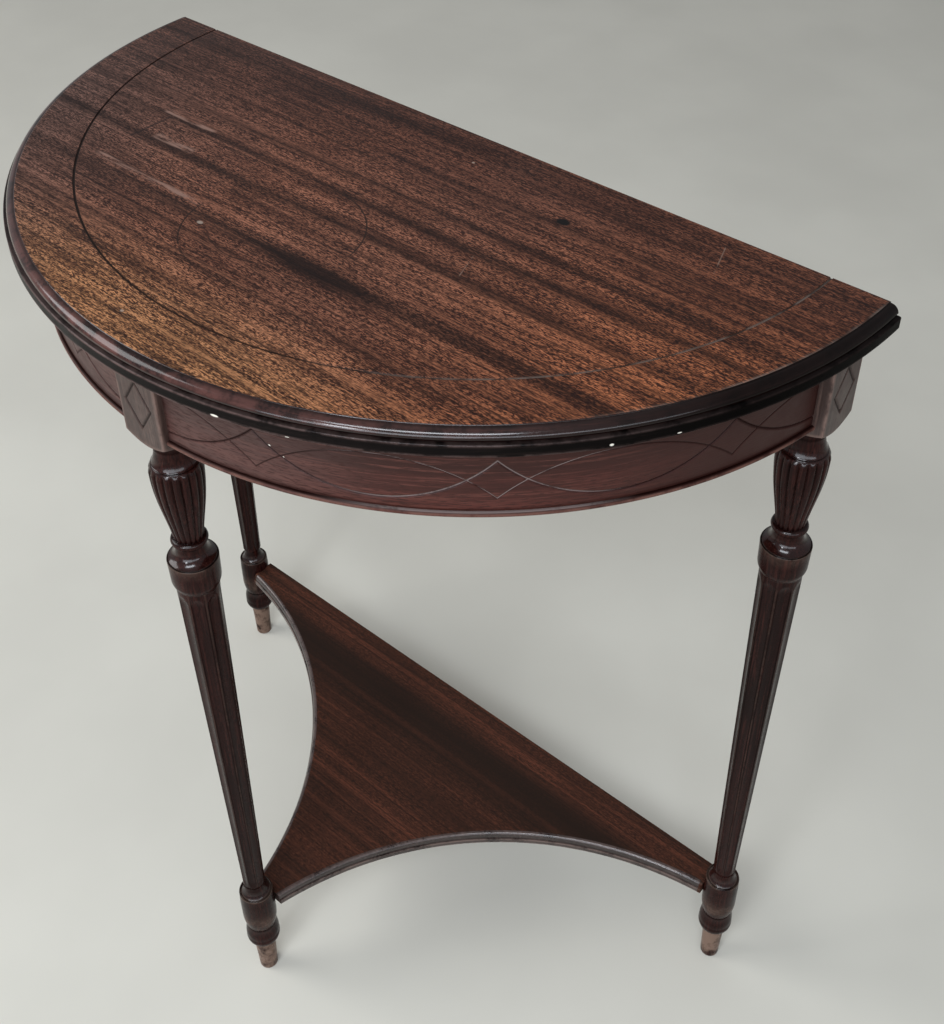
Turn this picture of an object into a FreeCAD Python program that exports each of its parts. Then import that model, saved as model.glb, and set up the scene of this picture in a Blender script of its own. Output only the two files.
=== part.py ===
"""Demilune table: a half-round top on three turned legs, with curved aprons and a low shelf.

Millimetres, +Z up. The origin lies on the floor under the middle of the table. The flat back
edge faces +Y and the round front faces -Y, with one leg at the front and two at the back.
"""
import FreeCAD, Part
import math
import os
import re
import Sketcher
from FreeCAD import Placement, Rotation, Vector

SIZES = {
    # Top: half a disc with a moulded edge and one incised line
    "table_height": 735,
    "top_radius": 340,
    "top_thickness": 16.5,
    "edge_width": 8.5,
    "quirk_depth": 0.8,
    "round_width": 6.2,
    "round_drop": 5.2,
    "round_turn": 85,
    "groove_depth": 1.4,
    "groove_height": 1.7,
    "line_inset": 49.3,
    "line_width": 1.4,
    "line_depth": 0.8,
    # Aprons and their beads, between the square blocks of the legs
    "overhang": 19,
    "apron_height": 62,
    "apron_thickness": 20,
    "bead_height": 4,
    "bead_depth": 16,
    "bead_proud": 2.5,
    "bead_turn": 180,
    # Straight back rail
    "back_margin": 11.5,
    "rail_setback": 4,
    "rail_thickness": 18,
    # Leg blocks and the turnings below them, from the block down
    "leg_square": 38,
    "block_proud": 5,
    "block_drop": 11,
    "shoulder_rise": 8.5,
    "neck_radius": 12.5,
    "neck_length": 6.5,
    "bell_radius": 15.6,
    "bell_height": 13.8,
    "bell_turn": 36,
    "vase_radius": 18.3,
    "vase_shoulder": 8,
    "vase_foot_radius": 10.9,
    "vase_height": 68.2,
    "reed_count": 18,
    "reed_depth": 1.7,
    "core_inset": 3.5,
    "ring_height": 6,
    "ring_turn": 150,
    "cove_radius": 10.6,
    "cove_height": 13.5,
    "cove_turn": 75,
    "cup_radius": 18.2,
    "cup_height": 26,
    "cup_round": 4.5,
    "shaft_top_radius": 15.5,
    # Leg turnings from the floor up
    "shaft_foot_radius": 9.5,
    "ankle_height": 14.5,
    "ankle_turn": 60,
    "collar_radius": 15,
    "collar_height": 39,
    "waist_radius": 12.5,
    "waist_height": 12,
    "bulb_radius": 14.6,
    "bulb_rise": 20,
    "bulb_height": 34.5,
    "bulb_upper_turn": 27,
    "bulb_lower_turn": 70,
    "foot_radius": 8.8,
    "foot_height": 36,
    # Flutes of the tapered shaft
    "shaft_margin": 0.4,
    "flute_count": 8,
    "flute_width_share": 0.88,
    "flute_margin": 5,
    "flute_top_depth": 1.5,
    "flute_foot_depth": 1,
    # Shelf, seated in flats on the collars
    "shelf_drop": 13.5,
    "shelf_thickness": 12,
    "shelf_round": 4,
    "shelf_lip": 1.2,
    "shelf_band": 5.5,
    "shelf_tip_back": 12,
    "shelf_tip_front": 8,
    "shelf_tip_half": 10.5,
    "shelf_sweep": 68,
    "seat_depth": 2,
    # Tenons of the rails and the shelf, and the mortises in the legs
    "tenon_thickness": 8,
    "tenon_length": 14,
    "tenon_margin": 12,
    "tenon_root": 3,
    "shelf_tenon_width": 12,
    "shelf_tenon_length": 9,
    "shelf_tenon_margin": 3,
    "mortise_clearance": 0.1,
    "mortise_end_gap": 1,
    # Glue blocks rubbed into the angle of the rails and the top
    "glue_length": 46,
    "glue_depth": 18,
    "glue_height": 22,
    "glue_spread": 20,
    "glue_back_place": 120,
}

# Heights and places that several pieces share, as formulas of the sizes
UNDERSIDE = "(table_height - top_thickness)"
APRON_BOTTOM = f"({UNDERSIDE} - apron_height)"
BEAD_TOP = f"({APRON_BOTTOM} + bead_height)"
BLOCK_BOTTOM = f"({APRON_BOTTOM} - block_drop)"
BELL_TOP = f"({BLOCK_BOTTOM} - neck_length)"
VASE_TOP = f"({BELL_TOP} - bell_height)"
RING_TOP = f"({VASE_TOP} - vase_height)"
RING_BOTTOM = f"({RING_TOP} - ring_height)"
CUP_TOP = f"({RING_BOTTOM} - cove_height)"
SHAFT_TOP = f"({CUP_TOP} - cup_height)"
BULB_TOP = "(foot_height + bulb_height)"
COLLAR_BOTTOM = f"({BULB_TOP} + waist_height)"
COLLAR_TOP = f"({COLLAR_BOTTOM} + collar_height)"
SHAFT_FOOT = f"({COLLAR_TOP} + ankle_height)"
SHELF_TOP = f"({COLLAR_TOP} - shelf_drop)"
SHELF_BOTTOM = f"({SHELF_TOP} - shelf_thickness)"
BACK_EDGE = "(top_radius / 2)"
APRON_RADIUS = "(top_radius - overhang)"
APRON_INSIDE = f"({APRON_RADIUS} - apron_thickness)"
APRON_MIDDLE = f"({APRON_RADIUS} - apron_thickness / 2)"
LEG_REACH = f"({APRON_RADIUS} + block_proud - leg_square / 2)"
FRONT_LEG_Y = f"({BACK_EDGE} - {LEG_REACH})"
BACK_LEG_Y = f"({BACK_EDGE} - back_margin - leg_square / 2)"
BACK_BLOCK_FRONT = f"({BACK_EDGE} - back_margin - leg_square)"
RAIL_OUTSIDE = f"({BACK_EDGE} - back_margin - rail_setback)"
RAIL_INSIDE = f"({RAIL_OUTSIDE} - rail_thickness)"
RAIL_HALF = f"({LEG_REACH} - leg_square / 2)"
SEAT_REACH = "(collar_radius - seat_depth)"

HALF_TURN = 180
FULL_TURN = 360
QUARTER_TURN = 90
SIDES = {"left": -1, "right": 1}

# Straight cuts that stand for a slight or a full curve, and across one reed or flute as shares of its half
SLIGHT_CURVE = 2
FULL_CURVE = 3
REED_CUTS = (-1, -0.4, 0.4)
FLUTE_CUTS = (-1, -0.4, 0.4, 1)
VASE_SECTIONS = 3

doc = FreeCAD.newDocument("demilune_table")
sheet = doc.addObject("Spreadsheet::Sheet", "sizes")
for row, (alias, number) in enumerate(SIZES.items(), start=1):
    sheet.set(f"A{row}", alias)
    sheet.set(f"B{row}", str(number))
    sheet.setAlias(f"B{row}", alias)
doc.recompute()


def on_sheet(formula):
    """The formula with each size read from the sheet."""
    def cell(word):
        return f"sizes.{word.group()}" if word.group() in SIZES else word.group()
    return re.sub(r"[a-z_]+", cell, formula)


def value(formula):
    return float(sheet.evalExpression(on_sheet(formula)))


def bind(item, **formulas):
    """Tie properties of a document object to the sheet."""
    for name, formula in formulas.items():
        item.setExpression(name, on_sheet(formula))


def place(item, x="0", y="0", z="0", rotation=Rotation()):
    """Put an object at a place worked out from the sheet."""
    item.Placement = Placement(Vector(value(x), value(y), value(z)), rotation)
    item.setExpression("Placement.Base.x", on_sheet(x))
    item.setExpression("Placement.Base.y", on_sheet(y))
    item.setExpression("Placement.Base.z", on_sheet(z))


def origin_part(body, role):
    return next(part for part in body.Origin.OriginFeatures if part.Role == role)


def new_sketch(body, name, plane):
    sketch = body.newObject("Sketcher::SketchObject", name)
    sketch.AttachmentSupport = (origin_part(body, plane), [""])
    sketch.MapMode = "FlatFace"
    return sketch


def arc_geometry(start, end, turn):
    """The arc from start to end that turns by the given degrees, positive to the left."""
    chord = end - start
    side = math.copysign(1, turn)
    half_angle = math.radians(abs(turn)) / 2
    radius = chord.Length / (2 * math.sin(half_angle))
    to_left = Vector(-chord.y, chord.x, 0).normalize()
    centre = (start + end) * 0.5 + to_left * (side * radius * math.cos(half_angle))
    first, last = (start, end) if turn > 0 else (end, start)
    angles = [math.atan2(point.y - centre.y, point.x - centre.x) for point in (first, last)]
    if angles[1] < angles[0]:
        angles[1] += 2 * math.pi
    return Part.ArcOfCircle(Part.Circle(centre, Vector(0, 0, 1), radius), *angles)


def outline(sketch, corners):
    """Draw a closed outline through corners given as formulas (x, y) or (x, y, turn).

    A turn makes the edge that leads to the corner an arc. Each corner is tied to the sheet.
    """
    points = [Vector(value(corner[0]), value(corner[1]), 0) for corner in corners]
    ends = []
    for index, corner in enumerate(corners):
        start, end = points[index - 1], points[index]
        turn = value(corner[2]) if len(corner) > 2 else 0
        edge = arc_geometry(start, end, turn) if turn else Part.LineSegment(start, end)
        number = sketch.addGeometry(edge, False)
        ends.append((number, (2, 1) if turn < 0 else (1, 2)))
        if turn:
            angle = sketch.addConstraint(Sketcher.Constraint("Angle", number, math.radians(abs(turn))))
            sketch.renameConstraint(angle, f"turn{index}")
            sketch.setExpression(f"Constraints.turn{index}", f"abs({on_sheet(corner[2])}) * 1 deg")
    for index, (number, (_, last)) in enumerate(ends):
        following, (first, _) = ends[(index + 1) % len(ends)]
        sketch.addConstraint(Sketcher.Constraint("Coincident", number, last, following, first))
        for axis, kind, formula in ((0, "DistanceX", corners[index][0]),
                                    (1, "DistanceY", corners[index][1])):
            distance = points[index][axis]
            tie = sketch.addConstraint(Sketcher.Constraint(kind, -1, 1, number, last, distance))
            sketch.renameConstraint(tie, f"{'xy'[axis]}{index}")
            sketch.setExpression(f"Constraints.{'xy'[axis]}{index}", on_sheet(formula))


def cut_curves(corners):
    """Replace each corner (x, y, turn, cuts) by the straight cuts that follow the curve to it."""
    path = []
    for index, corner in enumerate(corners):
        (start_x, start_y), (x, y) = corners[index - 1][:2], corner[:2]
        turn, cuts = corner[2:] if len(corner) > 2 else ("0", 1)
        run, rise = f"(({x}) - ({start_x}))", f"(({y}) - ({start_y}))"
        for step in range(1, cuts):
            share = step / cuts
            reach = f"sin({share} * ({turn}) / 2) / sin(({turn}) / 2)"
            swing = f"({1 - share} * ({turn}) / 2)"
            path.append((f"{start_x} + {reach} * ({run} * cos{swing} + {rise} * sin{swing})",
                         f"{start_y} + {reach} * ({rise} * cos{swing} - {run} * sin{swing})"))
        path.append((x, y))
    return path


def new_body(name):
    return doc.addObject("PartDesign::Body", name)


def turned(body, name, corners, angle=FULL_TURN, backwards=False, kind="Revolution"):
    """Revolve an outline of (radius, height) corners about the body's upright axis."""
    sketch = new_sketch(body, f"{name}_profile", "XZ_Plane")
    outline(sketch, cut_curves(corners))
    feature = body.newObject(f"PartDesign::{kind}", name)
    feature.Profile = sketch
    feature.ReferenceAxis = (sketch, ["V_Axis"])
    feature.Angle = angle
    feature.Reversed = backwards
    doc.recompute()
    return feature


def boolean(kind, label, base, tool):
    result = doc.addObject(f"Part::{kind}", label)
    result.Base = base
    result.Tool = tool
    return result


def group(label, members):
    result = doc.addObject("Part::Compound", label)
    result.Links = members
    return result


def box(name, size, corner, rotation=Rotation()):
    """A box from formulas of its (length, width, height) and of its lowest corner."""
    item = doc.addObject("Part::Box", name)
    bind(item, Length=size[0], Width=size[1], Height=size[2])
    place(item, *corner, rotation)
    return item


def cylinder(name, radius, height, base):
    item = doc.addObject("Part::Cylinder", name)
    bind(item, Radius=radius, Height=height)
    place(item, *base)
    return item


def ruled_loft(body, name, sections):
    """Straight surfaces from each section to the next, added to the body."""
    loft = body.newObject("PartDesign::AdditiveLoft", name)
    loft.Profile = sections[0]
    loft.Sections = sections[1:]
    loft.Ruled = True
    doc.recompute()
    return loft


def make_top():
    """Half a disc whose moulded edge has a quirk, a round, a groove and a lower band."""
    radius = "top_radius"
    surface = "table_height"
    round_out = f"{radius} - edge_width + round_width"
    round_foot = f"{surface} - quirk_depth - round_drop"
    band_top = f"{round_foot} - groove_height"
    body = new_body("top_body")
    turned(body, "half_disc", [
        ("0", UNDERSIDE),
        (radius, UNDERSIDE),
        (radius, band_top),
        (f"{round_out} - groove_depth", band_top),
        (round_out, round_foot),
        (f"{radius} - edge_width", f"{surface} - quirk_depth", "round_turn", SLIGHT_CURVE),
        (f"{radius} - edge_width", surface),
        (f"{radius} - line_inset + line_width / 2", surface),
        (f"{radius} - line_inset", f"{surface} - line_depth"),
        (f"{radius} - line_inset - line_width / 2", surface),
        ("0", surface),
    ], angle=HALF_TURN, backwards=True)
    place(body, y=BACK_EDGE)
    body.Label = "top_board"
    return body


def curved_strip(name, section, side):
    """A strip of the given section that follows the front curve between two leg blocks."""
    body = new_body(f"{name}_ring")
    turned(body, f"{name}_turn", section, angle=HALF_TURN, backwards=True)
    place(body, y=BACK_EDGE)
    width = f"{RAIL_HALF} + leg_square / 2"
    first = "leg_square / 2" if side > 0 else f"-leg_square / 2 - ({width})"
    between = box(f"{name}_span", (width, "top_radius", "table_height"),
                  (first, f"{BACK_BLOCK_FRONT} - top_radius", "0"))
    return boolean("Common", f"{name}_blank", body, between)


def with_tenons(label, board, tenons):
    """A board and its tenons as one piece."""
    piece = doc.addObject("Part::MultiFuse", label)
    piece.Shapes = [board] + tenons
    return piece


def make_aprons(tenons):
    """Two curved rails and the bead under each."""
    nose = f"{APRON_RADIUS} + bead_proud"
    bead_back = f"{APRON_RADIUS} - bead_depth"
    pieces = []
    for side_name, side in SIDES.items():
        rail = curved_strip(f"apron_{side_name}", [
            (APRON_INSIDE, BEAD_TOP),
            (APRON_RADIUS, BEAD_TOP),
            (APRON_RADIUS, UNDERSIDE),
            (APRON_INSIDE, UNDERSIDE),
        ], side)
        pieces.append(with_tenons(f"apron_{side_name}", rail, tenons[side_name]))
        bead = curved_strip(f"apron_bead_{side_name}", [
            (bead_back, APRON_BOTTOM),
            (f"{nose} - bead_height / 2", APRON_BOTTOM),
            (f"{nose} - bead_height / 2", BEAD_TOP, "bead_turn", FULL_CURVE),
            (bead_back, BEAD_TOP),
        ], side)
        bead.Label = f"apron_bead_{side_name}"
        pieces.append(bead)
    return pieces


def make_back_rail(tenons):
    rail = box("back_rail_blank", (f"2 * {RAIL_HALF}", "rail_thickness", "apron_height"),
               (f"-{RAIL_HALF}", RAIL_INSIDE, APRON_BOTTOM))
    return with_tenons("back_rail", rail, tenons)


def cut_section(body, name, height, points):
    """A closed cross-section of straight cuts, at a height above the floor."""
    sketch = new_sketch(body, name, "XY_Plane")
    sketch.setExpression("AttachmentOffset.Base.z", on_sheet(height))
    corners = [Vector(radius * math.cos(angle), radius * math.sin(angle), 0) for radius, angle in points]
    for start, end in zip(corners, corners[1:] + corners[:1]):
        sketch.addGeometry(Part.LineSegment(start, end), False)
    return sketch


def reed_points(crest):
    """Round reeds side by side: the radius and angle of each cut."""
    half = math.pi / round(value("reed_count"))
    depth = value("reed_depth") * crest / value("vase_radius")
    return [(crest - depth * (1 - math.sqrt(1 - share**2)), half * (2 * index + share))
            for index in range(round(value("reed_count"))) for share in REED_CUTS]


def flute_points(radius, depth):
    """Hollow flutes with a narrow land between them: the radius and angle of each cut."""
    half = math.pi / round(value("flute_count"))
    return [(radius - depth * (1 - share**2), half * (2 * index + value("flute_width_share") * share))
            for index in range(round(value("flute_count"))) for share in FLUTE_CUTS]


def add_reeded_vase(body):
    """Reeds with rounded tops over a full shoulder and a slim foot."""
    shoulder = f"({VASE_TOP} - vase_shoulder)"
    stations = [(VASE_TOP, "bell_radius - reed_depth"), (f"{VASE_TOP} - reed_depth", "bell_radius")]
    for step in range(VASE_SECTIONS):
        share = step / (VASE_SECTIONS - 1)
        swell = math.cos(share * math.pi / 2)
        stations.append((f"{shoulder} - {share} * ({shoulder} - {RING_TOP})",
                         f"vase_foot_radius + {swell:.4f} * (vase_radius - vase_foot_radius)"))
    ruled_loft(body, "reeded_vase", [cut_section(body, f"reeds_{index}", height, reed_points(value(crest)))
                                     for index, (height, crest) in enumerate(stations)])


def add_fluted_shaft(body):
    """A taper whose flutes start at the ankle and stop a little below the cup."""
    taper = f"(shaft_top_radius - shaft_foot_radius) / ({SHAFT_TOP} - {SHAFT_FOOT})"
    flute_top = f"({SHAFT_TOP} - flute_margin)"
    lengths = {
        "fluted_shaft": [(SHAFT_FOOT, "flute_foot_depth"), (flute_top, "flute_top_depth")],
        "shaft_top": [(flute_top, "0"), (SHAFT_TOP, "0")],
    }
    for name, stations in lengths.items():
        sections = []
        for index, (height, depth) in enumerate(stations):
            radius = value(f"shaft_foot_radius + {taper} * ({height} - {SHAFT_FOOT})")
            points = flute_points(radius, value(depth))
            sections.append(cut_section(body, f"{name}_{index}", height, points))
        ruled_loft(body, name, sections)


def make_leg(label, x, y, seat_turn, mortises):
    """A square block over a reeded vase, a fluted taper, a collar for the shelf and a foot."""
    body = new_body(f"{label}_turning")
    square = new_sketch(body, "block_outline", "XY_Plane")
    half = "leg_square / 2"
    outline(square, [(f"-{half}", f"-{half}"), (half, f"-{half}"), (half, half), (f"-{half}", half)])
    square.setExpression("AttachmentOffset.Base.z", on_sheet(BLOCK_BOTTOM))
    block = body.newObject("PartDesign::Pad", "block")
    block.Profile = square
    bind(block, Length=f"{UNDERSIDE} - {BLOCK_BOTTOM}")
    doc.recompute()
    corner = "leg_square * sqrt(2) / 2"
    slope = f"shoulder_rise / ({corner} - neck_radius)"
    beyond = "2 * leg_square"
    turned(body, "shoulder", [
        ("neck_radius", BLOCK_BOTTOM),
        (beyond, BLOCK_BOTTOM),
        (beyond, f"{BLOCK_BOTTOM} + {slope} * ({beyond} - neck_radius)"),
    ], kind="Groove")
    core = "shaft_foot_radius - core_inset"
    turned(body, "turnings", [
        ("0", "0"),
        ("foot_radius", "0"),
        ("foot_radius", "foot_height"),
        ("bulb_radius", "foot_height + bulb_rise", "bulb_lower_turn", SLIGHT_CURVE),
        ("waist_radius", BULB_TOP, "bulb_upper_turn", SLIGHT_CURVE),
        ("collar_radius", COLLAR_BOTTOM),
        ("collar_radius", COLLAR_TOP),
        ("shaft_foot_radius + shaft_margin", SHAFT_FOOT, "-ankle_turn", SLIGHT_CURVE),
        (core, SHAFT_FOOT),
        (core, SHAFT_TOP),
        ("shaft_top_radius + shaft_margin", SHAFT_TOP),
        ("cup_radius", f"{SHAFT_TOP} + cup_round"),
        ("cup_radius", CUP_TOP),
        ("cove_radius", RING_BOTTOM, "-cove_turn", SLIGHT_CURVE),
        ("vase_foot_radius + shaft_margin", RING_TOP, "ring_turn", FULL_CURVE),
        (core, RING_TOP),
        (core, VASE_TOP),
        ("bell_radius", VASE_TOP),
        ("neck_radius", BELL_TOP, "-bell_turn", FULL_CURVE),
        ("neck_radius", f"{BLOCK_BOTTOM} + shoulder_rise"),
        ("0", f"{BLOCK_BOTTOM} + shoulder_rise"),
    ])
    add_reeded_vase(body)
    add_fluted_shaft(body)
    place(body, x, y)
    seat_width = "2 * collar_radius"
    turn = Rotation(Vector(0, 0, 1), seat_turn)
    facing = turn.multVec(Vector(1, 0, 0))
    corner_x, corner_y = round(facing.x), round(facing.y)
    seat = box(f"{label}_seat", ("seat_depth", seat_width, "shelf_thickness"),
               (f"{x} + {corner_x} * {SEAT_REACH} + {corner_y} * collar_radius",
                f"{y} + {corner_y} * {SEAT_REACH} - {corner_x} * collar_radius", SHELF_BOTTOM), turn)
    return boolean("Cut", label, body, group(f"{label}_cuts", [seat] + mortises))


def shelf_outline(sketch, reach):
    """A three-cornered outline: a straight back, two hollow fronts and square ends at the legs."""
    end_x = f"({LEG_REACH} - {SEAT_REACH})"
    end_y = f"({FRONT_LEG_Y} + {SEAT_REACH})"
    back = f"{BACK_LEG_Y} + shelf_tip_back"
    front = f"{BACK_LEG_Y} - shelf_tip_front - ({reach})"
    tip = f"(shelf_tip_half + {reach})"
    outline(sketch, [
        (f"-{end_x}", back),
        (f"-{end_x}", front),
        (f"-{tip}", end_y, "-shelf_sweep"),
        (tip, end_y),
        (end_x, front, "-shelf_sweep"),
        (end_x, back),
    ])


def make_shelf(tenons):
    """A board with a plain back edge and a round over a band along its hollow fronts."""
    body = new_body("shelf_board")
    spring = f"({SHELF_TOP} - shelf_round)"
    band_top = f"({SHELF_BOTTOM} + shelf_band)"
    diagonal = f"shelf_round * {math.sqrt(0.5):.4f}"
    layers = {
        "band": [(SHELF_BOTTOM, "shelf_round + shelf_lip"), (band_top, "shelf_round + shelf_lip")],
        "board": [(band_top, "shelf_round"), (spring, "shelf_round"),
                  (f"{spring} + {diagonal}", diagonal), (SHELF_TOP, "0")],
    }
    for name, levels in layers.items():
        sections = []
        for index, (height, reach) in enumerate(levels):
            sections.append(new_sketch(body, f"{name}_{index}", "XY_Plane"))
            shelf_outline(sections[-1], reach)
            sections[-1].setExpression("AttachmentOffset.Base.z", on_sheet(height))
        body.Tip = ruled_loft(body, name, sections)
    return with_tenons("shelf", body, tenons)


def tenon_block(name, joint, spare, end_gap):
    """A block that runs from a board's shoulder into a leg: a tenon, or with a spare its mortise."""
    axis, inward, shoulder, width, length, low, high = joint
    root = "tenon_root" if spare == "0" else "0"
    along = f"({length} + {root} + {end_gap})"
    across = f"({width} + 2 * ({spare}))"
    lead = 0 if axis == "x" else 1
    corner = [f"{centre} - {across} / 2" for centre in shoulder]
    start = f"- {root}" if inward > 0 else f"+ {root} - {along}"
    corner[lead] = f"{shoulder[lead]} {start}"
    size = (along, across) if axis == "x" else (across, along)
    return box(name, (*size, f"{high} - ({low}) + 2 * ({spare})"), (*corner, f"{low} - ({spare})"))


def make_joints():
    """The tenons, listed by the boards that carry them, and their mortises, listed by leg."""
    front_y = f"({BACK_EDGE} - sqrt({APRON_MIDDLE}^2 - (leg_square / 2)^2))"
    back_x = f"sqrt({APRON_MIDDLE}^2 - (back_margin + leg_square)^2)"
    rail_y = f"({RAIL_INSIDE} + rail_thickness / 2)"
    rail = ("tenon_thickness", "tenon_length", f"{BEAD_TOP} + tenon_margin", f"{UNDERSIDE} - tenon_margin")
    shelf = ("shelf_tenon_width", "shelf_tenon_length", f"{SHELF_BOTTOM} + shelf_tenon_margin",
             f"{SHELF_TOP} - shelf_tenon_margin")
    joints = [("front", "shelf", "y", -1, ("0", f"{FRONT_LEG_Y} + {SEAT_REACH}"), shelf)]
    for side_name, side in SIDES.items():
        back_leg = f"back_{side_name}"
        joints.append(("front", side_name, "x", -side, (f"{side} * leg_square / 2", front_y), rail))
        joints.append((back_leg, side_name, "y", 1, (f"{side} * {back_x}", BACK_BLOCK_FRONT), rail))
        joints.append((back_leg, "back_rail", "x", side, (f"{side} * {RAIL_HALF}", rail_y), rail))
        joints.append((back_leg, "shelf", "x", side,
                       (f"{side} * ({LEG_REACH} - {SEAT_REACH})", BACK_LEG_Y), shelf))
    tenons, mortises = {}, {}
    for leg, board, axis, inward, shoulder, section in joints:
        joint = (axis, inward, shoulder, *section)
        name = f"{board}_to_{leg}"
        tenons.setdefault(board, []).append(tenon_block(f"{name}_tenon", joint, "0", "0"))
        mortise = tenon_block(f"{name}_mortise", joint, "mortise_clearance", "mortise_end_gap")
        mortises.setdefault(leg, []).append(mortise)
    return tenons, mortises


def make_glue_blocks():
    """Blocks rubbed into the angle of the rails and the top."""
    curve = cylinder("glue_curve", APRON_INSIDE, "table_height", ("0", BACK_EDGE, "0"))
    size = ("glue_depth", "glue_length", "glue_height")
    bottom = f"{UNDERSIDE} - glue_height"
    inner = f"({APRON_INSIDE} - glue_depth)"
    blocks = []
    for side_name, side in SIDES.items():
        middle = -QUARTER_TURN + side * QUARTER_TURN / 2
        for end_name, end in (("front", -1), ("back", 1)):
            label = f"glue_block_{side_name}_{end_name}"
            angle = f"({middle} + {side * end} * glue_spread)"
            corner = (f"{inner} * cos({angle}) + glue_length / 2 * sin({angle})",
                      f"{BACK_EDGE} + {inner} * sin({angle}) - glue_length / 2 * cos({angle})", bottom)
            stock = box(f"{label}_stock", size, corner, Rotation(Vector(0, 0, 1), value(angle)))
            blocks.append(boolean("Common", label, stock, curve))
        corner = (f"{side} * glue_back_place + glue_length / 2", f"{RAIL_INSIDE} - glue_depth", bottom)
        blocks.append(box(f"glue_block_back_{side_name}", size, corner,
                          Rotation(Vector(0, 0, 1), QUARTER_TURN)))
    return blocks


def make_table():
    tenons, mortises = make_joints()
    pieces = [make_top(), make_back_rail(tenons["back_rail"]), make_shelf(tenons["shelf"])]
    pieces += make_aprons(tenons) + make_glue_blocks()
    pieces.append(make_leg("leg_front", "0", FRONT_LEG_Y, QUARTER_TURN, mortises["front"]))
    for side_name, side in SIDES.items():
        seat_turn = 0 if side < 0 else HALF_TURN
        pieces.append(make_leg(f"leg_back_{side_name}", f"{side} * {LEG_REACH}", BACK_LEG_Y,
                               seat_turn, mortises[f"back_{side_name}"]))
    return pieces


def check(pieces):
    """Every object is up to date and every piece is a sound solid."""
    doc.recompute()
    for item in doc.Objects:
        if "Invalid" in item.State or "Error" in item.State:
            raise RuntimeError(f"{item.Label} failed: {item.State}")
    for piece in pieces:
        if piece.Shape.isNull() or not piece.Shape.isValid() or not piece.Shape.Solids:
            raise RuntimeError(f"{piece.Label} is not a sound solid")


table = make_table()
check(table)
os.makedirs("parts", exist_ok=True)
for piece in table:
    piece.Shape.exportStep(f"parts/{piece.Label}.step")
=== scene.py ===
"""The look of a demilune table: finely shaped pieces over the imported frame, in old mahogany.

Shapes are in millimetres in the table's own frame: the round front faces -Y, the straight back +Y, Z is up.
A point of a profile is a radius and a height. Wear and dirt are lists of a place along the profile, a width
and a strength. Marks and regions of the woods are in metres on the plan.
"""

import math

import bmesh
import bpy
import numpy as np
from mathutils import Matrix, Vector


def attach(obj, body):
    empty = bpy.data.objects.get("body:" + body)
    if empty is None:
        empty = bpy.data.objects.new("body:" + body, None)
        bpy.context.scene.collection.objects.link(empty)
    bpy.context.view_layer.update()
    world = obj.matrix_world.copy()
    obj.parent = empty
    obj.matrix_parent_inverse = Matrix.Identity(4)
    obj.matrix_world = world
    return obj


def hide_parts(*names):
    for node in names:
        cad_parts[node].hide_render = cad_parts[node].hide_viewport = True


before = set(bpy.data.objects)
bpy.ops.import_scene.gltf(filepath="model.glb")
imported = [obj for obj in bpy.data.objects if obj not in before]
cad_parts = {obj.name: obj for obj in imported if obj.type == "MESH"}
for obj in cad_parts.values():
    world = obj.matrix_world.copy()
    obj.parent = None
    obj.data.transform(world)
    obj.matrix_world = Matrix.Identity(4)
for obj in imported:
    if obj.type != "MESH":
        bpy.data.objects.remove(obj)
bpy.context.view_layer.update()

MM = 0.001
CURVE_Y = 170.0
WELD = 1e-7
SHARP_ANGLE = math.radians(38)
CUT_ROUNDING = 0.8

# Top: the rings of its flat faces, and its moulded edge from the band up to the rim of the face
TOP_SURFACE, UNDERSIDE = 735.0, 718.5
TOP_RADIUS, FACE_RADIUS, LINE_RADIUS = 340.0, 331.5, 290.7
TOP_COLUMNS = 288
UNDER_RINGS, RIM_RINGS, FACE_RINGS = (0, 150, 320, 339.3), (329, 310), (270, 230, 180, 130, 80, 30, 0)
BAND_FOOT, BAND_LEVELS, BAND_HEAD = 719.2, (720.6, 723, 725.4, 726.4), (339.1, 727.3)
BAND_TOP = 727.35
GROOVE = [(336.9, 727.4), (336.3, 727.9), (336.5, 728.6), (337.6, 728.9)]
ROUND_HEAD, QUIRK_FOOT, RIM = (331.7, 734.2), (FACE_RADIUS, 734.3), (331.0, TOP_SURFACE)
ARRIS_TURN, ROUND_TURN = 80, 86
LINE_HALF, LINE_FLOOR_HALF, LINE_FLOOR, LINE_DIRT_HALF = 1.0, 0.6, 734.2, 0.8

# The edge of the top is rubbed most in front, less at the left and hardly at the right, which has painted
# shade
EDGE_MARGIN = 2.0
EDGE_WEAR_END, EDGE_WEAR_FADE, LEAST_WEAR = math.radians(328), math.radians(60), 0.12
FRONT_START, FRONT_FADE, LEFT_WEAR = math.radians(235), math.radians(30), 0.55
# Painted shade: the edge darkens and loses its polish towards its right end
EDGE_SHADE_START, EDGE_SHADE_FADE, EDGE_SHADE = math.radians(312), math.radians(24), 0.85
ROUND_START, ROUND_FADE, ROUND_WEAR = 729.0, 2.0, 0.75
UNTOUCHED_WEAR = 0.4
# Rubbed arrises; on the band their pale worn tone also paints the glint of the edges
ARRIS_WEAR_AND_GLINT = [(719.0, 0.7, 0.7), (726.8, 0.7, 0.7), (734.8, 0.5, 0.15)]
EDGE_DIRT = [(728.1, 0.9, 1.0), (734.25, 0.25, 0.6)]

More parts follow.
